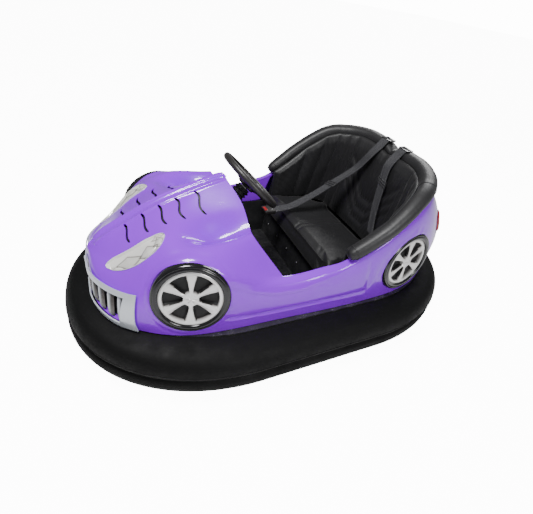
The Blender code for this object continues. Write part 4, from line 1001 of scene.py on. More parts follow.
def grille():
    """Silver surround of the grille; its sunk black back and leaning rounded louvres are made after it."""
    ts = spaced((0.0, 2.46, 44), (2.46, 2.90, 7))
    ss = spaced((5.50, 5.92, 4), (5.92, 8.36, 20), (8.36, 8.86, 5))
    bm = bmesh.new()
    where = {}
    for side in (1, -1):
        def spot(i, j, side=side):
            f = (ss[j] - 5.5) / 3.36
            end = 2.70 + 0.20 * f
            t = ts[i] if ts[i] <= 2.3 else 2.3 + (ts[i] - 2.3) * (end - 2.3) / 0.6
            return follow(t, ss[j], 0.0065, side)
        woven(bm, len(ts) - 1, len(ss) - 1, spot, None, where)
    gone = []
    for f in bm.faces:
        t = sum(ts[where[v][0]] for v in f.verts) / 4
        s = sum(ss[where[v][1]] for v in f.verts) / 4
        if t < 2.36 and 5.92 < s < 8.30:
            gone.append(f)
    bmesh.ops.delete(bm, geom=gone, context="FACES")
    bmesh.ops.remove_doubles(bm, verts=bm.verts, dist=1e-5)
    bmesh.ops.solidify(bm, geom=bm.faces, thickness=0.0052)
    obj = keep("grille_surround", bm, "chassis", GRILLE_SILVER, stands_for=["grille"])
    soften = obj.modifiers.new("soften", "BEVEL")
    soften.width = 0.0014
    soften.segments = 2
    soften.limit_method = "ANGLE"
    soften.angle_limit = math.radians(50)
    settle_shape(obj)


grille()


def grille_back():
    bm = bmesh.new()
    for side in (1, -1):
        def spot(i, j, side=side):
            return follow(2.5 * i / 30, 5.88 + 2.56 * j / 12, -0.0128, side)
        woven(bm, 30, 12, spot)
    obj = keep("grille_back", bm, "chassis", BLACK_TRIM_AND_SHADE)
    wall = obj.modifiers.new("wall", "SOLIDIFY")
    wall.thickness = 0.002
    settle_shape(obj)


def grille_louvres():
    """Rounded leaning louvres, plain silver on the swell and with painted shade where they roll away."""
    bm = bmesh.new()
    pitch = 0.405
    tall, round_cells = 16, 12
    for side in (1, -1):
        for k in range(6):
            t_start = 0.06 + k * pitch

            def spot(i, j, side=side, t_start=t_start):
                f = i / tall
                s = 5.84 + 2.58 * f
                w = j / round_cells
                t = t_start + bar_edge(f) - 0.10 + 0.285 * w
                swell = math.sin(math.pi * min(w * 0.86 + 0.07, 1.0)) ** 0.6
                taper = math.sin(math.pi * (0.04 + 0.92 * f)) ** 0.30
                return follow(max(min(t, 2.46), 0.0), s, -0.010 + 0.0150 * swell * taper, side)

            # Painted shade on the sides where each louvre rolls away from its swell.
            def shade(i, j):
                w = j / round_cells
                return 0.95 * ramp(w, 0.42, 0.80) + 0.5 * ramp(w, 0.14, 0.0)
            woven(bm, tall, round_cells, spot, shade)
    obj = keep("grille_louvres", bm, "chassis", GRILLE_SILVER, sharp=70, weld=None)
    wall = obj.modifiers.new("wall", "SOLIDIFY")
    wall.thickness = 0.0012
    settle_shape(obj, 70)


grille_back()
grille_louvres()


# ---------------------------------------------------------------- headlamps
PODS = [
    (2.9, 0.66, 1.35, 0.36, 7.0), (4.9, 0.70, 0.95, 0.34, 7.0),
    (6.15, 0.60, 0.75, 0.42, 6.5), (6.2, 0.22, 0.8, 0.22, 4.0),
]


def lamp_relief(u, v):
    """Height of the lamp face in mm over its bed, and the painted shade in its folds."""
    brim = min(u / 0.55, (LAMP_LAST - u) / 0.45, v / 0.10, (1 - v) / 0.12)
    brim = min(max(brim, 0.0), 1.0)
    bed = 3.2 - 9.0 * (brim * brim * (3 - 2 * brim))
    pod = 0.0
    seam = 9.0
    for cu, cv, ru, rv, high in PODS:
        d = abs(u - cu) / ru + abs(v - cv) / rv
        if d < 1.0:
            pod = max(pod, high * (1 - d) ** 0.75)
        seam = min(seam, abs(d - 1.0))
    trough = math.exp(-((v - 0.80) / 0.10) ** 2) * float(ramp(2.6 - u, 0.0, 1.0)) * float(ramp(u, 0.3, 0.9))
    # Painted shade: darkest along the pod seams and the lower trough, a little over the pods.
    fold = 0.75 * math.exp(-(seam / 0.10) ** 2) * brim + 0.55 * trough * brim
    fold += 0.18 * brim * (1.0 if pod > 0 else 0.0)
    return bed + pod * brim - 2.0 * trough * brim, min(fold, 1.0)


def headlamp(side):
    bm = bmesh.new()
    rows, cols = 96, 36

    def spot(i, j):
        u, v = i * LAMP_LAST / rows, j / cols
        high, dark = lamp_relief(u, v)
        p = lamp_spot(u, v) + LAMP_WAY * high * MM
        return (p.x * side, p.y, p.z)

    def shade(i, j):
        return lamp_relief(i * LAMP_LAST / rows, j / cols)[1]

    woven(bm, rows, cols, spot, shade)
    rim = [e for e in bm.edges if e.is_boundary]
    wall = bmesh.ops.extrude_edge_only(bm, edges=rim)["geom"]
    new = [g for g in wall if isinstance(g, bmesh.types.BMVert)]
    down = Vector((LAMP_WAY.x * side, LAMP_WAY.y, LAMP_WAY.z)) * -0.012
    bmesh.ops.translate(bm, verts=new, vec=down)
    close_ends(bm)
    keep("headlamp_" + side_word(side), bm, "chassis", LAMP_SILVER, sharp=32,
         stands_for=["headlight_" + side_word(side)])


for side in (1, -1):
    headlamp(side)


# ---------------------------------------------------------------- tail lamps
def tail_lamp(side):
    bm = bmesh.new()
    rows, cols = 12, 30

    def spot(i, j):
        a, b = i / rows, j / cols
        round_off = min(a, 1 - a, b * 1.6, (1 - b) * 1.6) / 0.10
        high = 0.0008 + 0.0068 * min(round_off, 1.0) ** 0.5 + 0.0004 * math.cos(b * math.pi * 18)
        return follow(11.5 + 0.5 * a, 7.0 + 0.5 * b, high, side)

    woven(bm, rows, cols, spot)
    bmesh.ops.solidify(bm, geom=bm.faces, thickness=0.002)
    keep("tail_lens_" + side_word(side), bm, "chassis", RED_LENS,
         stands_for=["tail_light_" + side_word(side)])
    bm = bmesh.new()
    woven(bm, 14, 20, lambda i, j: follow(11.46 + 0.58 * i / 14, 6.96 + 0.58 * j / 20, 0.0012, side))
    bmesh.ops.solidify(bm, geom=bm.faces, thickness=0.0009)
    keep("tail_gasket_" + side_word(side), bm, "chassis", BLACK_TRIM_AND_SHADE)


for side in (1, -1):
    tail_lamp(side)


# ---------------------------------------------------------------- false wheels
def false_tyre(word, side, place):
    r0, r1 = DISC_RIM + 0.0005, DISC_RADIUS
    profile = [(r0, -0.030), (r1, -0.030), (r1, 0.001), (r1 - 0.002, 0.0055), (r1 - 0.0055, 0.0090),
               (r1 - 0.009, 0.0104), (r1 - 0.0105, 0.0097), (r1 - 0.012, 0.0110), (r1 - 0.017, 0.0119),
               (r1 - 0.021, 0.0118), (r0 + 0.0045, 0.0106), (r0 + 0.0015, 0.0090), (r0, 0.0060)]
    bm = bmesh.new()
    spun(bm, profile, place, 96)
    tag = "disc_" + word + "_" + side_word(side)
    keep("false_tyre_" + word + "_" + side_word(side), bm, "chassis", GLOSS_BLACK, sharp=50,
         stands_for=[tag + "_tyre"])


def false_rim(word, side, place):
    """Six swelling spokes between a rolled rim and a domed centre, windows sunk behind."""
    bm = bmesh.new()
    fold = bm.verts.layers.float.new("fold")
    rings, segs = 44, 240
    outer = DISC_RIM

    # Gives the height in mm and a darkening: painted shade towards the spoke edges, and 1 in the sunk
    # windows, which get the black material.
    def high(radius, ang):
        turn = (ang * 6 / (2 * math.pi)) % 1.0
        off = abs(turn - 0.5) * 2
        f = radius / outer
        if f > 0.885:
            lip = (f - 0.885) / 0.115
            return 5.6 * math.sin(math.pi * min(0.12 + lip * 0.80, 1.0)) ** 0.5 + 0.6, 0.0
        half = 0.34 + 0.62 * max(0.0, 0.34 - f) / 0.34 + 0.26 * max(0.0, f - 0.60) ** 1.4
        half = min(half, 1.0) if f > 0.25 else 1.0
        edge = (off - half) / 0.10
        dome = 6.0 - 3.5 * f + (1.6 * math.cos(min(f / 0.13, 1.0) * math.pi / 2) if f < 0.13 else 0.0)
        ridge = 1.2 * math.exp(-(off / 0.16) ** 2) * float(ramp(f, 0.15, 0.35))
        top = dome + ridge - 1.8 * (off / max(half, 0.2)) ** 2
        if edge <= 0:
            return top, 0.55 * float(ramp(off / max(half, 0.01), 0.75, 1.0)) * float(ramp(f, 0.2, 0.4))
        sink = min(edge, 1.0)
        return top * (1 - sink) - 13.0 * sink, 1.0

    def spot(i, j):
        radius = outer * (0.02 + 0.98 * i / rings)
        ang = 2 * math.pi * j / segs
        h = high(radius, ang)[0]
        return place @ Vector((radius * math.cos(ang), radius * math.sin(ang), h * MM))

    made = woven(bm, rings, segs, spot)
    ordered = sorted(made, key=lambda v: v.index)
    keys = [(i, j) for j in range(segs + 1) for i in range(rings + 1)]
    for v, (i, j) in zip(ordered, keys):
        v[fold] = high(outer * (0.02 + 0.98 * i / rings), 2 * math.pi * j / segs)[1]
    bmesh.ops.remove_doubles(bm, verts=bm.verts, dist=1e-6)
    rim = [e for e in bm.edges if e.is_boundary]
    hub = [e for e in rim if (place.inverted() @ e.verts[0].co).length < 0.02]
    bmesh.ops.holes_fill(bm, edges=hub, sides=0)
    rim = [e for e in bm.edges if e.is_boundary]
    wall = bmesh.ops.extrude_edge_only(bm, edges=rim)["geom"]
    new = [g for g in wall if isinstance(g, bmesh.types.BMVert)]
    for v in new:
        flat = place.inverted() @ v.co
        v.co = place @ Vector((flat.x, flat.y, -0.020))
    close_ends(bm)
    tag = "disc_" + word + "_" + side_word(side)
    obj = keep("false_rim_" + word + "_" + side_word(side), bm, "chassis", [RIM_SILVER, BLACK_TRIM_AND_SHADE],
               sharp=35, stands_for=[tag + "_rim"])
    data = obj.data.attributes["fold"].data
    for poly in obj.data.polygons:
        dark = [data[k].value for k in poly.vertices]
        if min(dark) > 0.97:
            poly.material_index = 1


for word, side, spot, swing, lean in WHEELS:
    place = wheel_frame(side, spot, swing, lean)
    false_tyre(word, side, place)
    false_rim(word, side, place)


# ---------------------------------------------------------------- bumper ring
BUMPER_LENGTH = 1.945
BUMPER_WIDTH = 1.145
BUMPER_STRAIGHT = 0.275
BUMPER_ROUND = 2.15
RUBBER_DEPTH = 0.128


def plan_spot(k, count):
    ang = 2 * math.pi * k / count
    c, s = math.cos(ang), math.sin(ang)
    power = 2.0 / BUMPER_ROUND
    x = BUMPER_WIDTH / 2 * math.copysign(abs(c) ** power, c)
    reach = (BUMPER_LENGTH / 2 - BUMPER_STRAIGHT) * abs(s) ** power
    return x, math.copysign(BUMPER_STRAIGHT + reach, s) if abs(s) > 1e-9 else 0.0


def plan_loop(inset, count):
    """Closed plan curve of the bumper moved in by inset."""
    out = []
    for k in range(count):
        x, y = plan_spot(k, count)
        x0, y0 = plan_spot(k - 0.05, count)
        x1, y1 = plan_spot(k + 0.05, count)
        size = math.hypot(x1 - x0, y1 - y0)
        out.append((x - inset * (y1 - y0) / size, y + inset * (x1 - x0) / size))
    return out


def ring_sweep(bm, profile, count=64, fine=4):
    """Sweeps an (inset, z) profile round the plan; closed both ways."""
    rows = [plan_loop(inset, count * fine) for inset, z in profile]
    total = count * fine

    def spot(i, j):
        x, y = rows[j % len(profile)][i % total]
        return (x, y, profile[j % len(profile)][1])

    made = woven(bm, total, len(profile), spot)
    bmesh.ops.remove_doubles(bm, verts=made, dist=1e-6)


def bumper_ring():
    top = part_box("rubber_bumper")[1].z
    profile = [(0.1278, 0.076), (0.112, 0.067), (0.098, 0.0625), (0.074, 0.0595), (0.050, 0.0585),
               (0.033, 0.061), (0.020, 0.066), (0.010, 0.0745), (0.004, 0.084), (0.0012, 0.094),
               (0.0002, 0.104), (0.0010, 0.113), (0.003, 0.1215), (0.0075, 0.1275), (0.0125, 0.1315),
               (0.0150, 0.1345), (0.0158, 0.1375), (0.0150, 0.1405), (0.0105, 0.1440), (0.0072, 0.150),
               (0.0050, 0.158), (0.0042, 0.168), (0.0054, 0.180), (0.0090, 0.193), (0.0145, 0.206),
               (0.022, 0.2175), (0.034, 0.229), (0.048, 0.2365), (0.067, 0.2425), (0.088, 0.2465),
               (0.108, 0.2485), (0.1278, top)]
    bm = bmesh.new()
    ring_sweep(bm, profile)
    keep("rubber_ring", bm, "chassis", RUBBER, sharp=60, stands_for=["rubber_bumper"])
    bm = bmesh.new()
    for inset, z, tall in ((0.0012, 0.1085, 0.0016), (0.0036, 0.1640, 0.0014)):
        ring_sweep(bm, [(inset, z), (inset - 0.0012, z + tall * 0.5), (inset, z + tall),
                        (inset + 0.003, z + tall), (inset + 0.003, z)], 64, 3)
    keep("ring_flash_lines", bm, "chassis", RUBBER, sharp=60)


bumper_ring()


# ---------------------------------------------------------------- padded roll on the cockpit edge
RIM_HALF_H = 0.034
RIM_HALF_W = 0.035
RIM_SEAT = 0.0009


def rim_section(t):
    a = skin_point(t, 5.0)
    b = skin_point(t, 6.0)
    grow = min(max((t - 8.0) / 3.0, 0.0), 1.0)
    half_h = RIM_HALF_H * (0.84 + 0.30 * grow)
    half_w = RIM_HALF_W * (0.82 + 0.28 * grow)
    dip = max(0.0, 1.0 - (TAIL - t) / 0.8)
    return a.lerp(b, 0.40), half_h * (1.0 - 0.25 * dip), half_w


def rim_frames(cells):
    """Centre, size and local axes of the roll from its left front end to its right one."""
    ts = [8.0 + (TAIL - 8.0 - 1e-6) * k / cells for k in range(cells + 1)]
    half = [rim_section(t) for t in ts]
    path = half + [(Vector((-c.x, c.y, c.z)), h, w) for c, h, w in reversed(half[:-1])]
    out = []
    last = len(path) - 1
    for i, (c, hh, hw) in enumerate(path):
        ahead = (path[min(i + 1, last)][0] - path[max(i - 1, 0)][0]).normalized()
        side = Vector((ahead.y, -ahead.x, 0)).normalized()
        upv = side.cross(ahead)
        if upv.z < 0:
            upv = -upv
        out.append((c + upv * (hh + RIM_SEAT), side, upv, hh, hw, ahead))
    return out


ROLL = rim_frames(80)


def padded_roll():
    """Stuffed leather roll: soft folds across it, tucked ends and a notch at the middle."""
    bm = bmesh.new()
    around = 36
    last = len(ROLL) - 1

    def spot(i, j):
        c, side, upv, hh, hw, ahead = ROLL[i]
        phi = 2 * math.pi * j / around
        cu, su = math.cos(phi), math.sin(phi)
        end = min(i, last - i)
        tuck = 1.0 if end >= 5 else (0.52, 0.80, 0.91, 0.965, 0.99)[end]
        wave = 0.6 * math.sin(i * 0.83) + 0.4 * math.sin(i * 1.71 + 1.3) + 0.3 * math.sin(i * 3.1)
        swell = 1.0 - 0.010 - 0.010 * wave * (0.6 + 0.4 * cu)
        notch = 1.0 - 0.22 * math.exp(-((i - last / 2) / 3.2) ** 2) * max(su, 0.0)
        u = hw * 0.985 * math.copysign(abs(cu) ** 0.86, cu) * tuck * swell
        v = hh * 0.985 * math.copysign(abs(su) ** 0.86, su) * tuck * swell * notch
        return c + side * u + upv * v

    woven(bm, last, around, spot)
    bmesh.ops.remove_doubles(bm, verts=bm.verts, dist=1e-6)
    close_ends(bm)
    obj = keep("padded_roll", bm, "chassis", ROLL_LEATHER, sharp=80,
               stands_for=["seat_rim"])


def thread(bm, points, radius=0.0009, sides=6):
    """Round cord laid along points."""
    count = len(points)

    def spot(i, j):
        a = points[max(i - 1, 0)]
        b = points[min(i + 1, count - 1)]
        way = (b - a).normalized()
        across = way.cross(Vector((0.31, 0.52, 0.79))).normalized()
        other = way.cross(across)
        phi = 2 * math.pi * j / sides
        return points[i] + (across * math.cos(phi) + other * math.sin(phi)) * radius

    made = woven(bm, count - 1, sides, spot)
    bmesh.ops.remove_doubles(bm, verts=made, dist=1e-7)


def roll_piping():
    """Piping where the roll meets the moulding outside and the back panel inside."""
    bm = bmesh.new()
    for sign in (1, -1):
        line = []
        for c, side, upv, hh, hw, ahead in ROLL[2:-2]:
            line.append(c + side * hw * 0.80 * sign - upv * hh * 0.60)
        thread(bm, line, 0.0022, 8)
    close_ends(bm)
    keep("roll_piping", bm, "chassis", LEATHER, sharp=80)


def roll_cross_seams():
    """Sewn rings round the roll where its cover is joined."""
    bm = bmesh.new()
    last = len(ROLL) - 1
    for i in (3, 34, last - 34, last - 3):
        c, side, upv, hh, hw, ahead = ROLL[i]
        ring = []
        for k in range(41):
            phi = 2 * math.pi * k / 40
            cu, su = math.cos(phi), math.sin(phi)
            ring.append(c + side * hw * 0.985 * math.copysign(abs(cu) ** 0.86, cu)
                        + upv * hh * 0.985 * math.copysign(abs(su) ** 0.86, su))
        thread(bm, ring, 0.0013, 6)
    keep("roll_seams", bm, "chassis", LEATHER, sharp=80)


padded_roll()
roll_piping()
roll_cross_seams()


# ---------------------------------------------------------------- upholstered back and side panel
TUB_HALF_W = 0.372
TUB_WALL = 0.005
PAD_THICK = 0.026
BACK_T = [8.0, 8.5, 9.0, 9.5, 10.0, 10.5, 11.0, 11.5, 12.0, 12.5, 13.0, 13.5, TAIL - 1e-6]
BACK_FOOT = [
    (0.0, 0.118), (0.0, 0.190), (0.0, 0.265), (0.0, 0.325), (0.006, 0.380), (0.034, 0.424),
    (0.075, 0.449), (0.125, 0.456), (0.180, 0.459), (0.230, 0.461), (0.280, 0.462), (0.325, 0.463),
]


def back_lines():
    """Foot, head and inward way of the panel at each of its lines, left half."""
    wall = TUB_HALF_W - TUB_WALL - 0.0008
    foot_z = 0.335
    path = [rim_section(t) for t in BACK_T]
    out = []
    last = len(path) - 1
    for i, (c, hh, hw) in enumerate(path):
        way = path[min(i + 1, last)][0] - path[max(i - 1, 0)][0]
        inward = Vector((-way.y, way.x, 0)).normalized()
        if inward.dot(Vector((-c.x, 0.25 - c.y, 0))) < 0:
            inward = -inward
        if i == last:
            inward = Vector((0, -1, 0))
        head = c + inward * (hw + 0.0016)
        head.z = c.z + hh * 1.05
        if i < len(BACK_FOOT):
            base = Vector((wall - BACK_FOOT[i][0], BACK_FOOT[i][1], foot_z))
        else:
            base = Vector((0.0, 0.464, foot_z))
        head.x = 0.0 if i == last else min(head.x, wall)
        out.append((base, head, inward))
    return out


BACK = back_lines()
BACK_BASES = np.array([tuple(b) for b, h, w in BACK])
BACK_HEADS = np.array([tuple(h) for b, h, w in BACK])
BACK_WAYS = np.array([tuple(w) for b, h, w in BACK])
BACK_LAST = len(BACK) - 1


def back_spot(a, f, deep, side):
    """Point of the panel: a from the front of one side to the middle, f foot to head."""
    a = min(max(a, 0.0), BACK_LAST - 1e-6)
    base = curve(BACK_BASES, [a], steady=True)[0]
    head = curve(BACK_HEADS, [a], steady=True)[0]
    way = curve(BACK_WAYS, [a], steady=True)[0]
    way /= np.linalg.norm(way)
    p = base + (head - base) * f + way * deep
    return Vector((max(p[0], 0.0) * side, p[1], p[2]))


def chevron(x, z):
    """Distance to the nearest V seam of the backrest, in metres."""
    best = 1.0
    for foot_z, half_flat, reach in ((0.405, 0.050, 0.30), (0.462, 0.045, 0.27), (0.522, 0.040, 0.22)):
        off = max(abs(x) - half_flat, 0.0)
        line = foot_z + off * 1.05
        if abs(x) < reach:
            best = min(best, abs(z - line) * (1.0 if off == 0 else 0.69))
    return best


SIDE_SEAMS = [2.1, 3.6, 4.9, 6.1, 7.3]


def panel_seam(a, f, p):
    """Distance to the nearest seam of the panel."""
    best = 1.0
    for seam in SIDE_SEAMS:
        lean = (f - 0.5) * 0.5
        best = min(best, abs(a - seam - lean) * 0.058)
    if a > 7.9:
        best = min(best, chevron(p.x, p.z))
    return best


def back_panel():
    bm = bmesh.new()
    cells, tall = 150, 52
    for side in (1, -1):
        def spot(i, j, side=side):
            a = BACK_LAST * i / cells
            f = j / tall
            flat = back_spot(a, f, 0.0, side)
            edge = min(f / 0.10, (1 - f) / 0.10, 1.0)
            edge = min(edge, a / 0.35 + 0.05)
            gap = panel_seam(a, f, flat)
            puff = min(1.0, 0.40 + 0.60 * (1 - math.exp(-gap / 0.016)))
            crease = 0.0012 * math.sin(a * 9 + f * 14) * math.sin(f * 23 + a * 5)
            deep = PAD_THICK * (0.30 + 0.68 * max(edge, 0.0) ** 0.6 * puff) + crease * edge
            return back_spot(a, f, min(deep, PAD_THICK), side)

        def board(i, j, side=side):
            return back_spot(BACK_LAST * i / cells, j / tall, 0.0012, side)
        woven(bm, cells, tall, spot)
        woven(bm, cells, tall, board)
    bmesh.ops.remove_doubles(bm, verts=bm.verts, dist=1e-6)
    bmesh.ops.bridge_loops(bm, edges=[e for e in bm.edges if e.is_boundary])
    obj = keep("back_panel", bm, "chassis", LEATHER, sharp=80, stands_for=["seat_back"])


def stitch_runs(bm, points, length=0.0050, gap=0.0028, radius=0.00055):
    """Dashes of thread along a line."""
    run = 0.0
    dash = []
    step = length + gap
    for a, b in zip(points[:-1], points[1:]):
        size = (b - a).length
        if size < 1e-7:
            continue
        k = 0.0
        while k < size:
            phase = (run + k) % step
            p = a.lerp(b, k / size)
            if phase < length:
                dash.append(p)
            elif dash:
                if len(dash) > 1:
                    thread(bm, [dash[0], dash[-1]], radius, 4)
                dash = []
            k += 0.0012
        run += size


def panel_stitching():
    """Twin rows of stitching beside each seam of the panel."""
    bm = bmesh.new()
    for side in (1, -1):
        for seam in SIDE_SEAMS:
            for off in (-0.07, 0.07):
                line = []
                for k in range(27):
                    f = 0.10 + 0.80 * k / 26
                    a = seam + off + (f - 0.5) * 0.5
                    flat = back_spot(a, f, 0.0, side)
                    gap = panel_seam(a, f, flat)
                    deep = PAD_THICK * (0.30 + 0.68 * (0.40 + 0.60 * (1 - math.exp(-gap / 0.016))))
                    line.append(back_spot(a, f, deep + 0.0004, side))
                stitch_runs(bm, line)
    close_ends(bm)
    keep("panel_stitching", bm, "chassis", THREAD, sharp=80, weld=None)


def chevron_stitching():
    bm = bmesh.new()
    for foot_z, half_flat, reach in ((0.405, 0.050, 0.30), (0.462, 0.045, 0.27), (0.522, 0.040, 0.22)):
        for off in (-0.0045, 0.0045):
            line = []
            for k in range(-60, 61):
                x = reach * 0.96 * k / 60
                z = foot_z + off + max(abs(x) - half_flat, 0.0) * 1.05
                spot = panel_at(abs(x), z)
                if spot is not None:
                    line.append(Vector((math.copysign(spot.x, x) if x else 0.0, spot.y, spot.z)))
            stitch_runs(bm, line)
    close_ends(bm)
    keep("chevron_stitching", bm, "chassis", THREAD, sharp=80, weld=None)


def panel_at(x, z):
    """Surface point of the backrest at a given width and height, left half."""
    f = 0.5
    for _ in range(3):
        low, high = 7.5, BACK_LAST - 1e-6
        for _ in range(16):
            mid = 0.5 * (low + high)
            if back_spot(mid, f, PAD_THICK * 0.7, 1).x > x:
                low = mid
            else:
                high = mid
        a = 0.5 * (low + high)
        foot = back_spot(a, 0.0, 0.0, 1).z
        head = back_spot(a, 1.0, 0.0, 1).z
        f = (z - foot) / (head - foot)
        if not 0.06 < f < 0.94:
            return None
    if a < 7.95:
        return None
    flat = back_spot(a, f, 0.0, 1)
    gap = panel_seam(a, f, flat)
    deep = PAD_THICK * (0.30 + 0.68 * (0.40 + 0.60 * (1 - math.exp(-gap / 0.016))))
    return back_spot(a, f, deep + 0.0004, 1)


back_panel()
panel_stitching()
chevron_stitching()


# ---------------------------------------------------------------- seat cushion
def cushion_block(bm):
    """Starting block of the bench cushion, a little smaller than its CAD space."""
    low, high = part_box("seat_cushion")
    cut_corner = 0.058
    half = high.x - 0.006
    front, rear = low.y + 0.006, high.y - 0.010
    bottom, top = low.z + 0.002, low.z + 0.080
    made = bmesh.ops.create_cube(bm, size=2.0)["verts"]
    for v in made:
        v.co = (v.co.x * half, front if v.co.y < 0 else rear, bottom if v.co.z < 0 else top)
    flats = [e for e in bm.edges if abs(e.verts[0].co.x - e.verts[1].co.x) > 0.1]
    bmesh.ops.subdivide_edges(bm, edges=flats, cuts=9, use_grid_fill=True)
    longs = [e for e in bm.edges if abs(e.verts[0].co.y - e.verts[1].co.y) > 0.1]
    bmesh.ops.subdivide_edges(bm, edges=longs, cuts=5, use_grid_fill=True)
    for v in bm.verts:
        if v.co.y > rear - 0.02 and abs(v.co.x) > 0.26:
            v.co.y -= cut_corner
        if v.co.z > top - 0.001:
            f = (v.co.y - front) / (rear - front)
            v.co.z += 0.013 * (1 - f) ** 2
    rim = [e for e in bm.edges if e.calc_face_angle(0.0) > 1.0]
    bmesh.ops.bevel(bm, geom=rim, offset=0.014, segments=3, profile=0.5, affect="EDGES", material=-1)


def swell_with_cloth(obj, voxel, pressure, cap):
    """Remeshes the pad and blows it up as sewn cloth, moving no point further than cap."""
    mesh_tool = obj.modifiers.new("remesh", "REMESH")
    mesh_tool.mode = "VOXEL"
    mesh_tool.voxel_size = voxel
    mesh_tool.use_smooth_shade = True
    settle_shape(obj, 80)
    rest = np.array([tuple(v.co) for v in obj.data.vertices])
    group = obj.vertex_groups.new(name="resting")
    floor_z = rest[:, 2].min() + 0.004
    group.add([int(k) for k in np.nonzero(rest[:, 2] < floor_z)[0]], 1.0, "REPLACE")
    cloth = obj.modifiers.new("cloth", "CLOTH")
    how = cloth.settings
    how.use_pressure = True
    how.uniform_pressure_force = pressure
    how.quality = 4
    how.mass = 0.3
    how.tension_stiffness = 16
    how.compression_stiffness = 16
    how.bending_stiffness = 1.0
    how.effector_weights.gravity = 0.0
    how.vertex_group_mass = group.name
    cloth.point_cache.frame_start = 1
    cloth.point_cache.frame_end = 20
    for number in range(1, 21):
        SCENE.frame_set(number)
    view = bpy.context.evaluated_depsgraph_get()
    puffed = obj.evaluated_get(view).to_mesh()
    moved = np.array([tuple(v.co) for v in puffed.vertices])
    obj.evaluated_get(view).to_mesh_clear()
    obj.modifiers.clear()
    obj.vertex_groups.clear()
    step = moved - rest
    size = np.linalg.norm(step, axis=1, keepdims=True)
    step *= np.minimum(1.0, cap / np.maximum(size, 1e-9))
    for v, p in zip(obj.data.vertices, rest + step):
        v.co = p
    SCENE.frame_set(1)


def seam_dip(x, y, lines):
    """How much the cushion is pulled in by its nearest sewn line."""
    best = 1.0
    for (x0, y0), (x1, y1) in lines:
        size = math.hypot(x1 - x0, y1 - y0)
        f = min(max(((x - x0) * (x1 - x0) + (y - y0) * (y1 - y0)) / (size * size), 0.0), 1.0)
        best = min(best, math.hypot(x - x0 - f * (x1 - x0), y - y0 - f * (y1 - y0)))
    return math.exp(-(best / 0.007) ** 2)


CUSHION_SEAMS = [
    ((-0.012, 0.07), (-0.012, 0.40)), ((0.012, 0.07), (0.012, 0.40)),
]


def bench_cushion():
    bm = bmesh.new()
    cushion_block(bm)
    obj = keep("bench_cushion", bm, "chassis", LEATHER, sharp=80,
               stands_for=["seat_cushion"])
    low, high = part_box("seat_cushion")
    swell_with_cloth(obj, 0.007, 4.0, 0.016)
    for v in obj.data.vertices:
        x, y, z = v.co
        if z > low.z + 0.05:
            z -= 0.006 * seam_dip(x, y, CUSHION_SEAMS)
            z -= 0.004 * math.exp(-((abs(x) - 0.155) / 0.10) ** 2) * math.exp(-((y - 0.26) / 0.11) ** 2)
            z += 0.0007 * math.sin(x * 61 + y * 23) * math.sin(y * 47 - x * 19)
        v.co = (min(max(x, -high.x), high.x), min(max(y, low.y), high.y + 0.004),
                min(max(z, low.z), high.z))
    mod = obj.modifiers.new("smooth", "SUBSURF")
    mod.levels = mod.render_levels = 1
    settle_shape(obj, 80)
    return obj


def cushion_height(obj, x, y):
    hit, spot, normal, index = obj.ray_cast(Vector((x, y, 0.8)), Vector((0, 0, -1)))
    return spot if hit else None


def cushion_trim(obj):
    """Piping round the cushion's top edge and the stitched centre line."""
    low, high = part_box("seat_cushion")
    bm = bmesh.new()
    half, front, rear = high.x - 0.022, low.y + 0.024, high.y - 0.030
    corners = [(-half, front), (half, front), (half, rear - 0.060), (0.27, rear - 0.056), (0.25, rear),
               (-0.25, rear), (-0.27, rear - 0.056), (-half, rear - 0.060), (-half, front)]
    line = []
    for (x0, y0), (x1, y1) in zip(corners[:-1], corners[1:]):
        steps = max(int(math.hypot(x1 - x0, y1 - y0) / 0.008), 1)
        for k in range(steps):
            p = cushion_height(obj, x0 + (x1 - x0) * k / steps, y0 + (y1 - y0) * k / steps)
            if p is not None:
                line.append(p + Vector((0, 0, 0.0002)))
    line.append(line[0])
    thread(bm, line, 0.0021, 8)
    keep("cushion_piping", bm, "chassis", LEATHER, sharp=80)
    bm = bmesh.new()
    for x in (-0.0195, 0.0195):
        run = [cushion_height(obj, x, front + 0.02 + (rear - front - 0.05) * k / 50) for k in range(51)]
        stitch_runs(bm, [p + Vector((0, 0, 0.0003)) for p in run if p is not None])
    close_ends(bm)
    keep("cushion_stitching", bm, "chassis", THREAD, sharp=80, weld=None)


CUSHION = bench_cushion()
cushion_trim(CUSHION)


# ---------------------------------------------------------------- lap and shoulder belts
BELT_HALF = 0.024
BELT_THICK = 0.0025


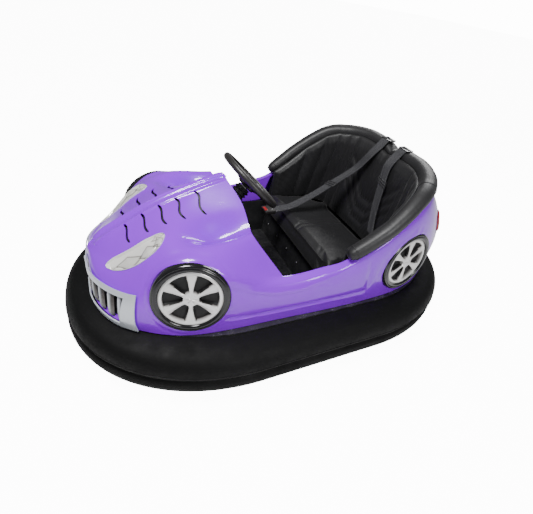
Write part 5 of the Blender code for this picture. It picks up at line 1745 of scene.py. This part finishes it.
def belt_paths():
    crest_c, crest_h, crest_w = rim_section(13.4)
    crest = crest_c + Vector((0, 0, 2 * crest_h + RIM_SEAT))
    near_x = 0.062
    face = crest.y - crest_w - 0.0016 - PAD_THICK - 0.010
    left = [
        ((near_x, crest.y + 0.016, crest.z + 0.0048), (1, 0, 0)),
        ((near_x, crest.y - 0.022, crest.z + 0.0038), (1, 0, 0)),
        ((near_x, crest.y - 0.052, crest.z - 0.026), (1, 0, 0)),
        ((near_x + 0.004, face - 0.010, crest.z - 0.075), (1, 0, -0.1)),
        ((near_x + 0.030, face - 0.030, 0.640), (1, 0, -0.2)),
        ((near_x + 0.075, face - 0.060, 0.520), (1, 0, -0.3)),
        ((near_x + 0.120, face - 0.082, 0.436), (1, 0, -0.3)),
    ]
    right = [
        ((-near_x, crest.y + 0.016, crest.z + 0.0048), (1, 0, 0)),
        ((-near_x, crest.y - 0.022, crest.z + 0.0038), (1, 0, 0)),
        ((-near_x, crest.y - 0.052, crest.z - 0.026), (1, 0, 0)),
        ((-near_x - 0.006, face - 0.012, crest.z - 0.075), (1, 0, 0.1)),
        ((-near_x - 0.030, face - 0.045, 0.660), (1, 0.1, 0.2)),
        ((-near_x - 0.052, 0.320, 0.560), (1, 0.2, 0.2)),
        ((-near_x - 0.062, 0.200, 0.480), (1, 0.1, 0.1)),
        ((-near_x - 0.066, 0.100, 0.436), (1, 0, 0)),
        ((-near_x - 0.066, 0.020, 0.428), (1, 0, 0)),
    ]
    return crest, {"left": left, "right": right}


CREST, BELTS = belt_paths()


def belt_frames(points, fine):
    spots = np.array([p for p, w in points])
    wides = np.array([w for p, w in points])
    last = len(points) - 1
    steps = last * fine
    out = []
    for k in range(steps + 1):
        at = min(k / fine, last - 1e-6)
        p = Vector(curve(spots, [at], steady=True)[0])
        q = Vector(curve(spots, [min(at + 0.02, last - 1e-6)], steady=True)[0])
        o = Vector(curve(spots, [max(at - 0.02, 0.0)], steady=True)[0])
        w = Vector(curve(wides, [at], steady=True)[0]).normalized()
        along = (q - o).normalized()
        n = along.cross(w).normalized()
        if n.z < 0 and abs(n.z) > 0.2 or n.y > 0.5:
            n = -n
        out.append((p, w, n, along))
    return out


def belt(word):
    """Woven strap with thicker selvedges, its UV in metres for the weave."""
    frames = belt_frames(BELTS[word], 14)
    bm = bmesh.new()
    uv = bm.loops.layers.uv.new("weave")
    profile = [(-1.0, 0.15), (-0.98, 1.0), (-0.86, 1.0), (-0.80, 0.72), (-0.30, 0.66), (0.0, 0.70),
               (0.30, 0.66), (0.80, 0.72), (0.86, 1.0), (0.98, 1.0), (1.0, 0.15), (0.98, 0.0), (-0.98, 0.0)]
    run = [0.0]
    for a, b in zip(frames[:-1], frames[1:]):
        run.append(run[-1] + (b[0] - a[0]).length)
    count = len(profile)

    def spot(i, j):
        p, w, n, along = frames[i]
        u, h = profile[j % count]
        return p + w * (u * BELT_HALF) + n * (h * BELT_THICK)

    woven(bm, len(frames) - 1, count, spot)
    for face in bm.faces:
        for loop in face.loops:
            v = loop.vert
            best = min(range(len(frames)), key=lambda k: (frames[k][0] - v.co).length_squared)
            p, w, n, along = frames[best]
            loop[uv].uv = ((v.co - p).dot(w), run[best])
    bmesh.ops.remove_doubles(bm, verts=bm.verts, dist=1e-7)
    close_ends(bm)
    keep("belt_webbing_" + word, bm, "chassis", WEBBING, sharp=50,
         stands_for=["belt_" + word], weld=None)
    return frames


def rounded_box(bm, centre, half, place=None, soft=0.002, segments=3):
    made = bmesh.ops.create_cube(bm, size=2.0)["verts"]
    for v in made:
        v.co = Vector((v.co.x * half[0], v.co.y * half[1], v.co.z * half[2]))
    edges = list({e for v in made for e in v.link_edges})
    out = bmesh.ops.bevel(bm, geom=edges, offset=soft, segments=segments, profile=0.5, affect="EDGES",
                          material=-1)
    verts = list({v for f in out["faces"] for v in f.verts} | {v for v in made if v.is_valid})
    bmesh.ops.translate(bm, verts=verts, vec=centre)
    if place is not None:
        bmesh.ops.transform(bm, matrix=place, verts=verts)
    return verts


def basis(p, w, n, along):
    return Matrix.Translation(p) @ Matrix((w, along, n)).transposed().to_4x4()


def belt_fittings(frames):
    """Loops that keep each belt on the roll, and a slide adjuster further down it."""
    for word, line in frames.items():
        bm = bmesh.new()
        place = basis(*line[9])
        for out in (-1, 1):
            rounded_box(bm, (0, out * 0.012, 0.0034), (0.0300, 0.0058, 0.0014), place, 0.0011)
        for out in (-1, 1):
            rounded_box(bm, (out * 0.0288, 0, 0.0012), (0.0024, 0.0178, 0.0034), place, 0.0010)
        keep("belt_keeper_" + word, bm, "chassis", GLOSS_BLACK, sharp=40)
        bm = bmesh.new()
        place = basis(*line[len(line) * 5 // 8])
        for across in (-0.013, 0.0, 0.013):
            rounded_box(bm, (0, across, 0.0042), (0.0285, 0.0026, 0.0012), place, 0.0010)
        for out in (-1, 1):
            rounded_box(bm, (out * 0.0278, 0, 0.0022), (0.0022, 0.0165, 0.0030), place, 0.0010)
        keep("belt_slide_" + word, bm, "chassis", FRAME_PAINT, sharp=40)


def belt_buckle():
    """Moulded buckle with a red press button and the tongue let into it."""
    low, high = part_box("belt_buckle")
    mid = (low + high) / 2
    half = (high - low) / 2
    bm = bmesh.new()
    rounded_box(bm, tuple(mid), (half.x * 0.97, half.y * 0.97, half.z * 0.95), None, 0.006, 5)
    keep("buckle_case", bm, "chassis", WHEEL_PLASTIC, sharp=40,
         stands_for=["belt_buckle"])
    bm = bmesh.new()
    rounded_box(bm, (mid.x, low.y + 0.013, high.z - 0.0028), (0.018, 0.0085, 0.0026), None, 0.0018, 3)
    keep("buckle_button", bm, "chassis", RED_BUTTON, sharp=40)
    bm = bmesh.new()
    rounded_box(bm, (mid.x, high.y - 0.004, high.z - 0.0105), (0.020, 0.0075, 0.0012), None, 0.0010, 2)
    rivet = bmesh.ops.create_uvsphere(bm, u_segments=16, v_segments=8, radius=0.0042)["verts"]
    bmesh.ops.scale(bm, vec=(1, 1, 0.45), verts=rivet)
    bmesh.ops.translate(bm, verts=rivet, vec=(mid.x + 0.010, high.y - 0.016, high.z - 0.0014))
    keep("buckle_tongue", bm, "chassis", STEEL, sharp=40)


belt_fittings({word: belt(word) for word in ("left", "right")})
belt_buckle()


# ---------------------------------------------------------------- steering wheel and column
STEER_CENTRE = Vector((0, -0.193, 0.671))
STEER_AXIS = Vector((0, math.cos(math.radians(47)), math.sin(math.radians(47))))
COLUMN = aim(STEER_CENTRE, STEER_AXIS)
GRIP_MIDDLE = 0.1385
GRIP_RADIUS = 0.0140


def steering_wheel():
    """Foam grip with finger swells, three pressed spokes and a padded centre."""
    bm = bmesh.new()
    around = 28
    profile = []
    for k in range(around):
        ang = 2 * math.pi * k / around
        profile.append((GRIP_MIDDLE + GRIP_RADIUS * math.cos(ang), GRIP_RADIUS * math.sin(ang)))
    spun(bm, profile, Matrix.Identity(4), 144)
    for v in bm.verts:
        turn = math.atan2(v.co.y, v.co.x)
        mid = Vector((math.cos(turn), math.sin(turn), 0)) * GRIP_MIDDLE
        off = v.co - mid
        swell = 1.0 - 0.05 * (0.5 + 0.5 * math.cos(turn * 36))
        inside = off.x * math.cos(turn) + off.y * math.sin(turn) < -0.3 * GRIP_RADIUS
        v.co = mid + off * (swell if inside else 1.0)
    bmesh.ops.transform(bm, matrix=COLUMN, verts=bm.verts)
    keep("wheel_grip", bm, "steering", WHEEL_PLASTIC, sharp=60,
         stands_for=["steering_wheel"])
    bm = bmesh.new()
    for k in range(3):
        turn = Matrix.Rotation(2 * math.pi * (3 + 16 * k + 0.5) / 48, 4, "Z")
        made = bmesh.ops.create_grid(bm, x_segments=14, y_segments=6, size=1.0)["verts"]
        for v in made:
            f = (v.co.x + 1) / 2
            wide = 0.020 - 0.007 * math.sin(math.pi * f)
            edge = abs(v.co.y)
            high = -0.026 + 0.024 * f * f * (3 - 2 * f) - 0.003 * edge ** 3
            v.co = (0.030 + 0.100 * f, v.co.y * wide, high)
        bmesh.ops.transform(bm, matrix=turn, verts=made)
    bmesh.ops.recalc_face_normals(bm, faces=bm.faces)
    bmesh.ops.solidify(bm, geom=bm.faces, thickness=0.0035)
    bmesh.ops.transform(bm, matrix=COLUMN, verts=bm.verts)
    keep("wheel_spokes", bm, "steering", GLOSS_BLACK, sharp=40)
    bm = bmesh.new()
    spun(bm, [(0.0, -0.034), (0.036, -0.034), (0.041, -0.031), (0.042, -0.020), (0.040, -0.011),
              (0.034, -0.0062), (0.026, -0.0048), (0.024, -0.0060), (0.021, -0.0060), (0.018, -0.0044),
              (0.008, -0.0036), (0.0, -0.0034)], COLUMN, 72, False)
    keep("wheel_centre_pad", bm, "steering", WHEEL_PLASTIC, sharp=50)
    bm = bmesh.new()
    for k in range(6):
        ang = math.radians(60 * k + 30)
        spot = COLUMN @ Matrix.Translation((0.031 * math.cos(ang), 0.031 * math.sin(ang), -0.0062))
        bolt_head(bm, spot, 0.0026, 0.0022)
    keep("wheel_screws", bm, "steering", STEEL, sharp=30)


def bellows():
    """Moulded dust cover in eight soft folds, a collar at each end."""
    low, high, folds = -0.176, -0.040, 8
    profile = [(0.0145, low), (0.0335, low), (0.0345, low + 0.004)]
    steps = 96
    for k in range(steps + 1):
        f = k / steps
        wave = 0.5 - 0.5 * math.cos(2 * math.pi * folds * f)
        profile.append((0.0285 + 0.0072 * wave ** 1.4, low + 0.006 + (high - low - 0.012) * f))
    profile += [(0.0300, high - 0.003), (0.0290, high), (0.0145, high)]
    bm = bmesh.new()
    spun(bm, profile, COLUMN, 64)
    keep("column_bellows_folds", bm, "chassis", BELLOWS_RUBBER, sharp=60,
         stands_for=["column_bellows"])


steering_wheel()
bellows()


# ---------------------------------------------------------------- cockpit floor mat, pedal pad and riser screws
def floor_mat():
    """Ribbed rubber mat laid on the well floor."""
    bm = bmesh.new()
    bottom, thick, half, front, rear = 0.1316, 0.0030, 0.340, -0.375, 0.088
    made = bmesh.ops.create_cube(bm, size=2.0)["verts"]
    for v in made:
        v.co = (v.co.x * half, front if v.co.y < 0 else rear, bottom if v.co.z < 0 else bottom + thick)
    corners = [e for e in bm.edges if abs(e.verts[0].co.z - e.verts[1].co.z) > 0.001]
    bmesh.ops.bevel(bm, geom=corners, offset=0.030, segments=6, profile=0.5, affect="EDGES", material=-1)
    ribs = 24
    for k in range(ribs):
        x = -half + 0.030 + (2 * half - 0.060) * k / (ribs - 1)
        rounded_box(bm, (x, (front + rear) / 2, bottom + thick + 0.0006), (0.0035, (rear - front) / 2 - 0.016,
                                                                          0.0014), None, 0.0010, 2)
    keep("floor_mat", bm, "chassis", MAT_RUBBER, sharp=35, weld=None)


def pedal_pad():
    """Ribbed rubber facing on the drive pedal, following the plate's slope."""
    low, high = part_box("drive_pedal")
    plate = NODES["drive_pedal"]
    faces = [(plate.matrix_world.to_3x3() @ p.normal, p.area, plate.matrix_world @ p.center)
             for p in plate.data.polygons]
    normal, area, centre = max((f for f in faces if f[0].y > 0.2), key=lambda f: f[1])
    normal = normal.normalized()
    across = Vector((1, 0, 0))
    up = normal.cross(across).normalized()
    if up.z < 0:
        up = -up
    mid = (low + high) / 2
    mid = mid + normal * ((centre - mid).dot(normal) + 0.0024)
    place = Matrix.Translation(mid) @ Matrix((across, up, across.cross(up))).transposed().to_4x4()
    tall = (high.z - low.z) / max(up.z, 0.3) / 2 - 0.008
    bm = bmesh.new()
    rounded_box(bm, (0, 0, 0), (0.041, tall, 0.0020), place, 0.0018, 3)
    for k in range(7):
        at = (k - 3) / 3 * (tall - 0.008)
        rounded_box(bm, (0, at, 0.0024), (0.035, 0.0024, 0.0014), place, 0.0010, 2)
    keep("pedal_pad", bm, "chassis", MAT_RUBBER, sharp=35, weld=None)


def cockpit_screws():
    """Domed screws in a row across the seat riser."""
    bm = bmesh.new()
    for x in (-0.30, -0.18, -0.06, 0.06, 0.18, 0.30):
        place = Matrix.Translation((x, 0.0998, 0.215)) @ Matrix.Rotation(math.radians(90), 4, "X")
        made = bmesh.ops.create_uvsphere(bm, u_segments=16, v_segments=8, radius=0.0055)["verts"]
        bmesh.ops.scale(bm, vec=(1, 1, 0.35), verts=made)
        bmesh.ops.transform(bm, matrix=place, verts=made)
    keep("riser_screws", bm, "chassis", STEEL, sharp=60)


floor_mat()
pedal_pad()
cockpit_screws()


# ---------------------------------------------------------------- road wheels and drive unit
def road_tyre(name, body, node, grooves=24):
    """Solid tyre with rounded shoulders and a tread of slanting blocks."""
    low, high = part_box(node)
    centre = (low + high) / 2
    radius = (high.z - low.z) / 2
    half = (high.x - low.x) / 2
    bore = 0.0562 if radius < 0.096 else 0.0582
    place = aim(centre, (1, 0, 0))
    bm = bmesh.new()
    profile = [(bore, -half + 0.002), (bore + 0.008, -half), (radius - 0.014, -half),
               (radius - 0.006, -half + 0.003),
               (radius - 0.0012, -half + 0.010), (radius, -half + 0.016)]
    profile += [(radius, 0.0)]
    profile += [(r, -h) for r, h in reversed(profile[:-1])]
    spun(bm, profile, Matrix.Identity(4), grooves * 6)
    for v in bm.verts:
        r = math.hypot(v.co.x, v.co.y)
        if r > radius - 0.0008:
            turn = math.atan2(v.co.y, v.co.x) / (2 * math.pi) * grooves
            slant = turn + abs(v.co.z) / half * 0.5
            if slant % 1.0 < 0.20:
                v.co.x *= (radius - 0.0035) / r
                v.co.y *= (radius - 0.0035) / r
    bmesh.ops.transform(bm, matrix=place, verts=bm.verts)
    keep(name, bm, body, TREAD, sharp=30, stands_for=[node])


def hub_bolts(name, body, node, count, circle, outward_x):
    """Studs in a circle on the outer face of a hub."""
    low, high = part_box(node)
    centre = (low + high) / 2
    face = high.x if outward_x > 0 else low.x
    bm = bmesh.new()
    for k in range(count):
        ang = 2 * math.pi * (k + 0.5) / count
        spot = (face, centre.y + circle * math.cos(ang), centre.z + circle * math.sin(ang))
        bolt_head(bm, aim(spot, (outward_x, 0, 0)), 0.0052, 0.0050)
    keep(name, bm, body, STEEL, sharp=30, weld=None)


road_tyre("driven_tyre_tread", "drive_wheel", "drive_tyre", 22)
hub_bolts("driven_hub_bolts", "drive_wheel", "drive_hub", 5, 0.042, -1)
for word, out in (("left", 1), ("right", -1)):
    body = "rear_" + word + "_wheel"
    road_tyre("rear_tyre_tread_" + word, body, "rear_" + word + "_tyre")
    hub_bolts("rear_hub_bolts_" + word, body, "rear_" + word + "_hub", 5, 0.040, out)


def motor_dressing():
    """Cooling ribs, brush cover band, end cap and its bolts on the drive motor."""
    low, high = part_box("drive_motor")
    centre = (low + high) / 2
    radius = (high.z - low.z) / 2
    bm = bmesh.new()
    for k in range(6):
        x = low.x + 0.018 + 0.006 * k
        spun(bm, [(radius - 0.002, -0.0012), (radius + 0.0024, -0.0008), (radius + 0.0024, 0.0008),
                  (radius - 0.002, 0.0012)], aim((x, centre.y, centre.z), (1, 0, 0)), 72)
    spun(bm, [(radius - 0.002, -0.011), (radius + 0.0016, -0.010), (radius + 0.0016, 0.010),
              (radius - 0.002, 0.011)], aim((high.x - 0.024, centre.y, centre.z), (1, 0, 0)), 72)
    keep("motor_ribs", bm, "swivel", MOTOR_PAINT, sharp=35, weld=None)
    bm = bmesh.new()
    spun(bm, [(0.0, 0.0035), (0.014, 0.0030), (0.018, 0.0), (0.0, 0.0)],
         aim((high.x, centre.y, centre.z), (1, 0, 0)), 48, False)
    for k in range(4):
        ang = math.radians(45 + 90 * k)
        spot = (high.x, centre.y + 0.036 * math.cos(ang), centre.z + 0.036 * math.sin(ang))
        bolt_head(bm, aim(spot, (1, 0, 0)), 0.0040, 0.0036)
    keep("motor_end_bolts", bm, "swivel", STEEL, sharp=30, weld=None)


def frame_bolts():
    """Bolts of the swivel bridge, the gearbox, the rear axle hangers and the floor plate."""
    bm = bmesh.new()
    low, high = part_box("swivel_bridge")
    for x in (low.x + 0.015, high.x - 0.015):
        for y in (low.y + 0.022, high.y - 0.022):
            bolt_head(bm, Matrix.Translation((x, y, 0.1392)), 0.0065, 0.0060)
    low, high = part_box("steering_gearbox")
    for x in (low.x + 0.010, high.x - 0.010):
        for y in (low.y + 0.012, high.y - 0.012):
            bolt_head(bm, Matrix.Translation((x, y, high.z - 0.0004)), 0.0050, 0.0045)
    for side in (1, -1):
        for y in (0.534, 0.586):
            bolt_head(bm, aim((side * 0.2442, y, 0.118), (-side, 0, 0)), 0.0050, 0.0045)
    low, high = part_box("floor_plate")
    for y in (-0.72, -0.36, 0.0, 0.36, 0.72):
        for x in (-0.16, 0.16):
            bolt_head(bm, aim((x, y, low.z + 0.0002), (0, 0, -1)), 0.0060, 0.0045)
    keep("frame_bolts", bm, "chassis", STEEL, sharp=30, weld=None)


def battery_dressing(word):
    """Two raised bands round the case of one lead battery."""
    low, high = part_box("battery_" + word)
    mid = (low + high) / 2
    half = (high - low) / 2
    bm = bmesh.new()
    for ring in (0.30, 0.62):
        z = low.z + 2 * half.z * ring
        rounded_box(bm, (mid.x, mid.y, z), (half.x + 0.0008, half.y + 0.0008, 0.0022), None, 0.0008, 2)
    keep("battery_ribs_" + word, bm, "chassis", BATTERY_CASE, sharp=35, weld=None)


motor_dressing()
frame_bolts()
for word in ("left", "right"):
    battery_dressing(word)


# ---------------------------------------------------------------- finishes of the pieces kept from the frame
FINISHES = {
    "cockpit_tub": LINER,
    "dash_panel": LINER,
    "floor_plate": FRAME_PAINT,
    "bumper_band": FRAME_PAINT,
    "swivel_bridge": FRAME_PAINT,
    "swivel_fork": FRAME_PAINT,
    "rear_left_hanger": FRAME_PAINT,
    "rear_right_hanger": FRAME_PAINT,
    "pedal_base": FRAME_PAINT,
    "drive_pedal": STEEL,
    "drive_motor": MOTOR_PAINT,
    "drive_spindle": STEEL,
    "kingpin": STEEL,
    "rear_axle": STEEL,
    "steering_shaft": STEEL,
    "gearbox_spacer": ALLOY,
    "steering_gearbox": ALLOY,
    "drive_hub": ALLOY,
    "rear_left_hub": ALLOY,
    "rear_right_hub": ALLOY,
    "battery_left": BATTERY_CASE,
    "battery_right": BATTERY_CASE,
}


def finish_kept_pieces():
    for node, mat in FINISHES.items():
        mesh = NODES[node].data
        mesh.materials.clear()
        mesh.materials.append(mat)


finish_kept_pieces()
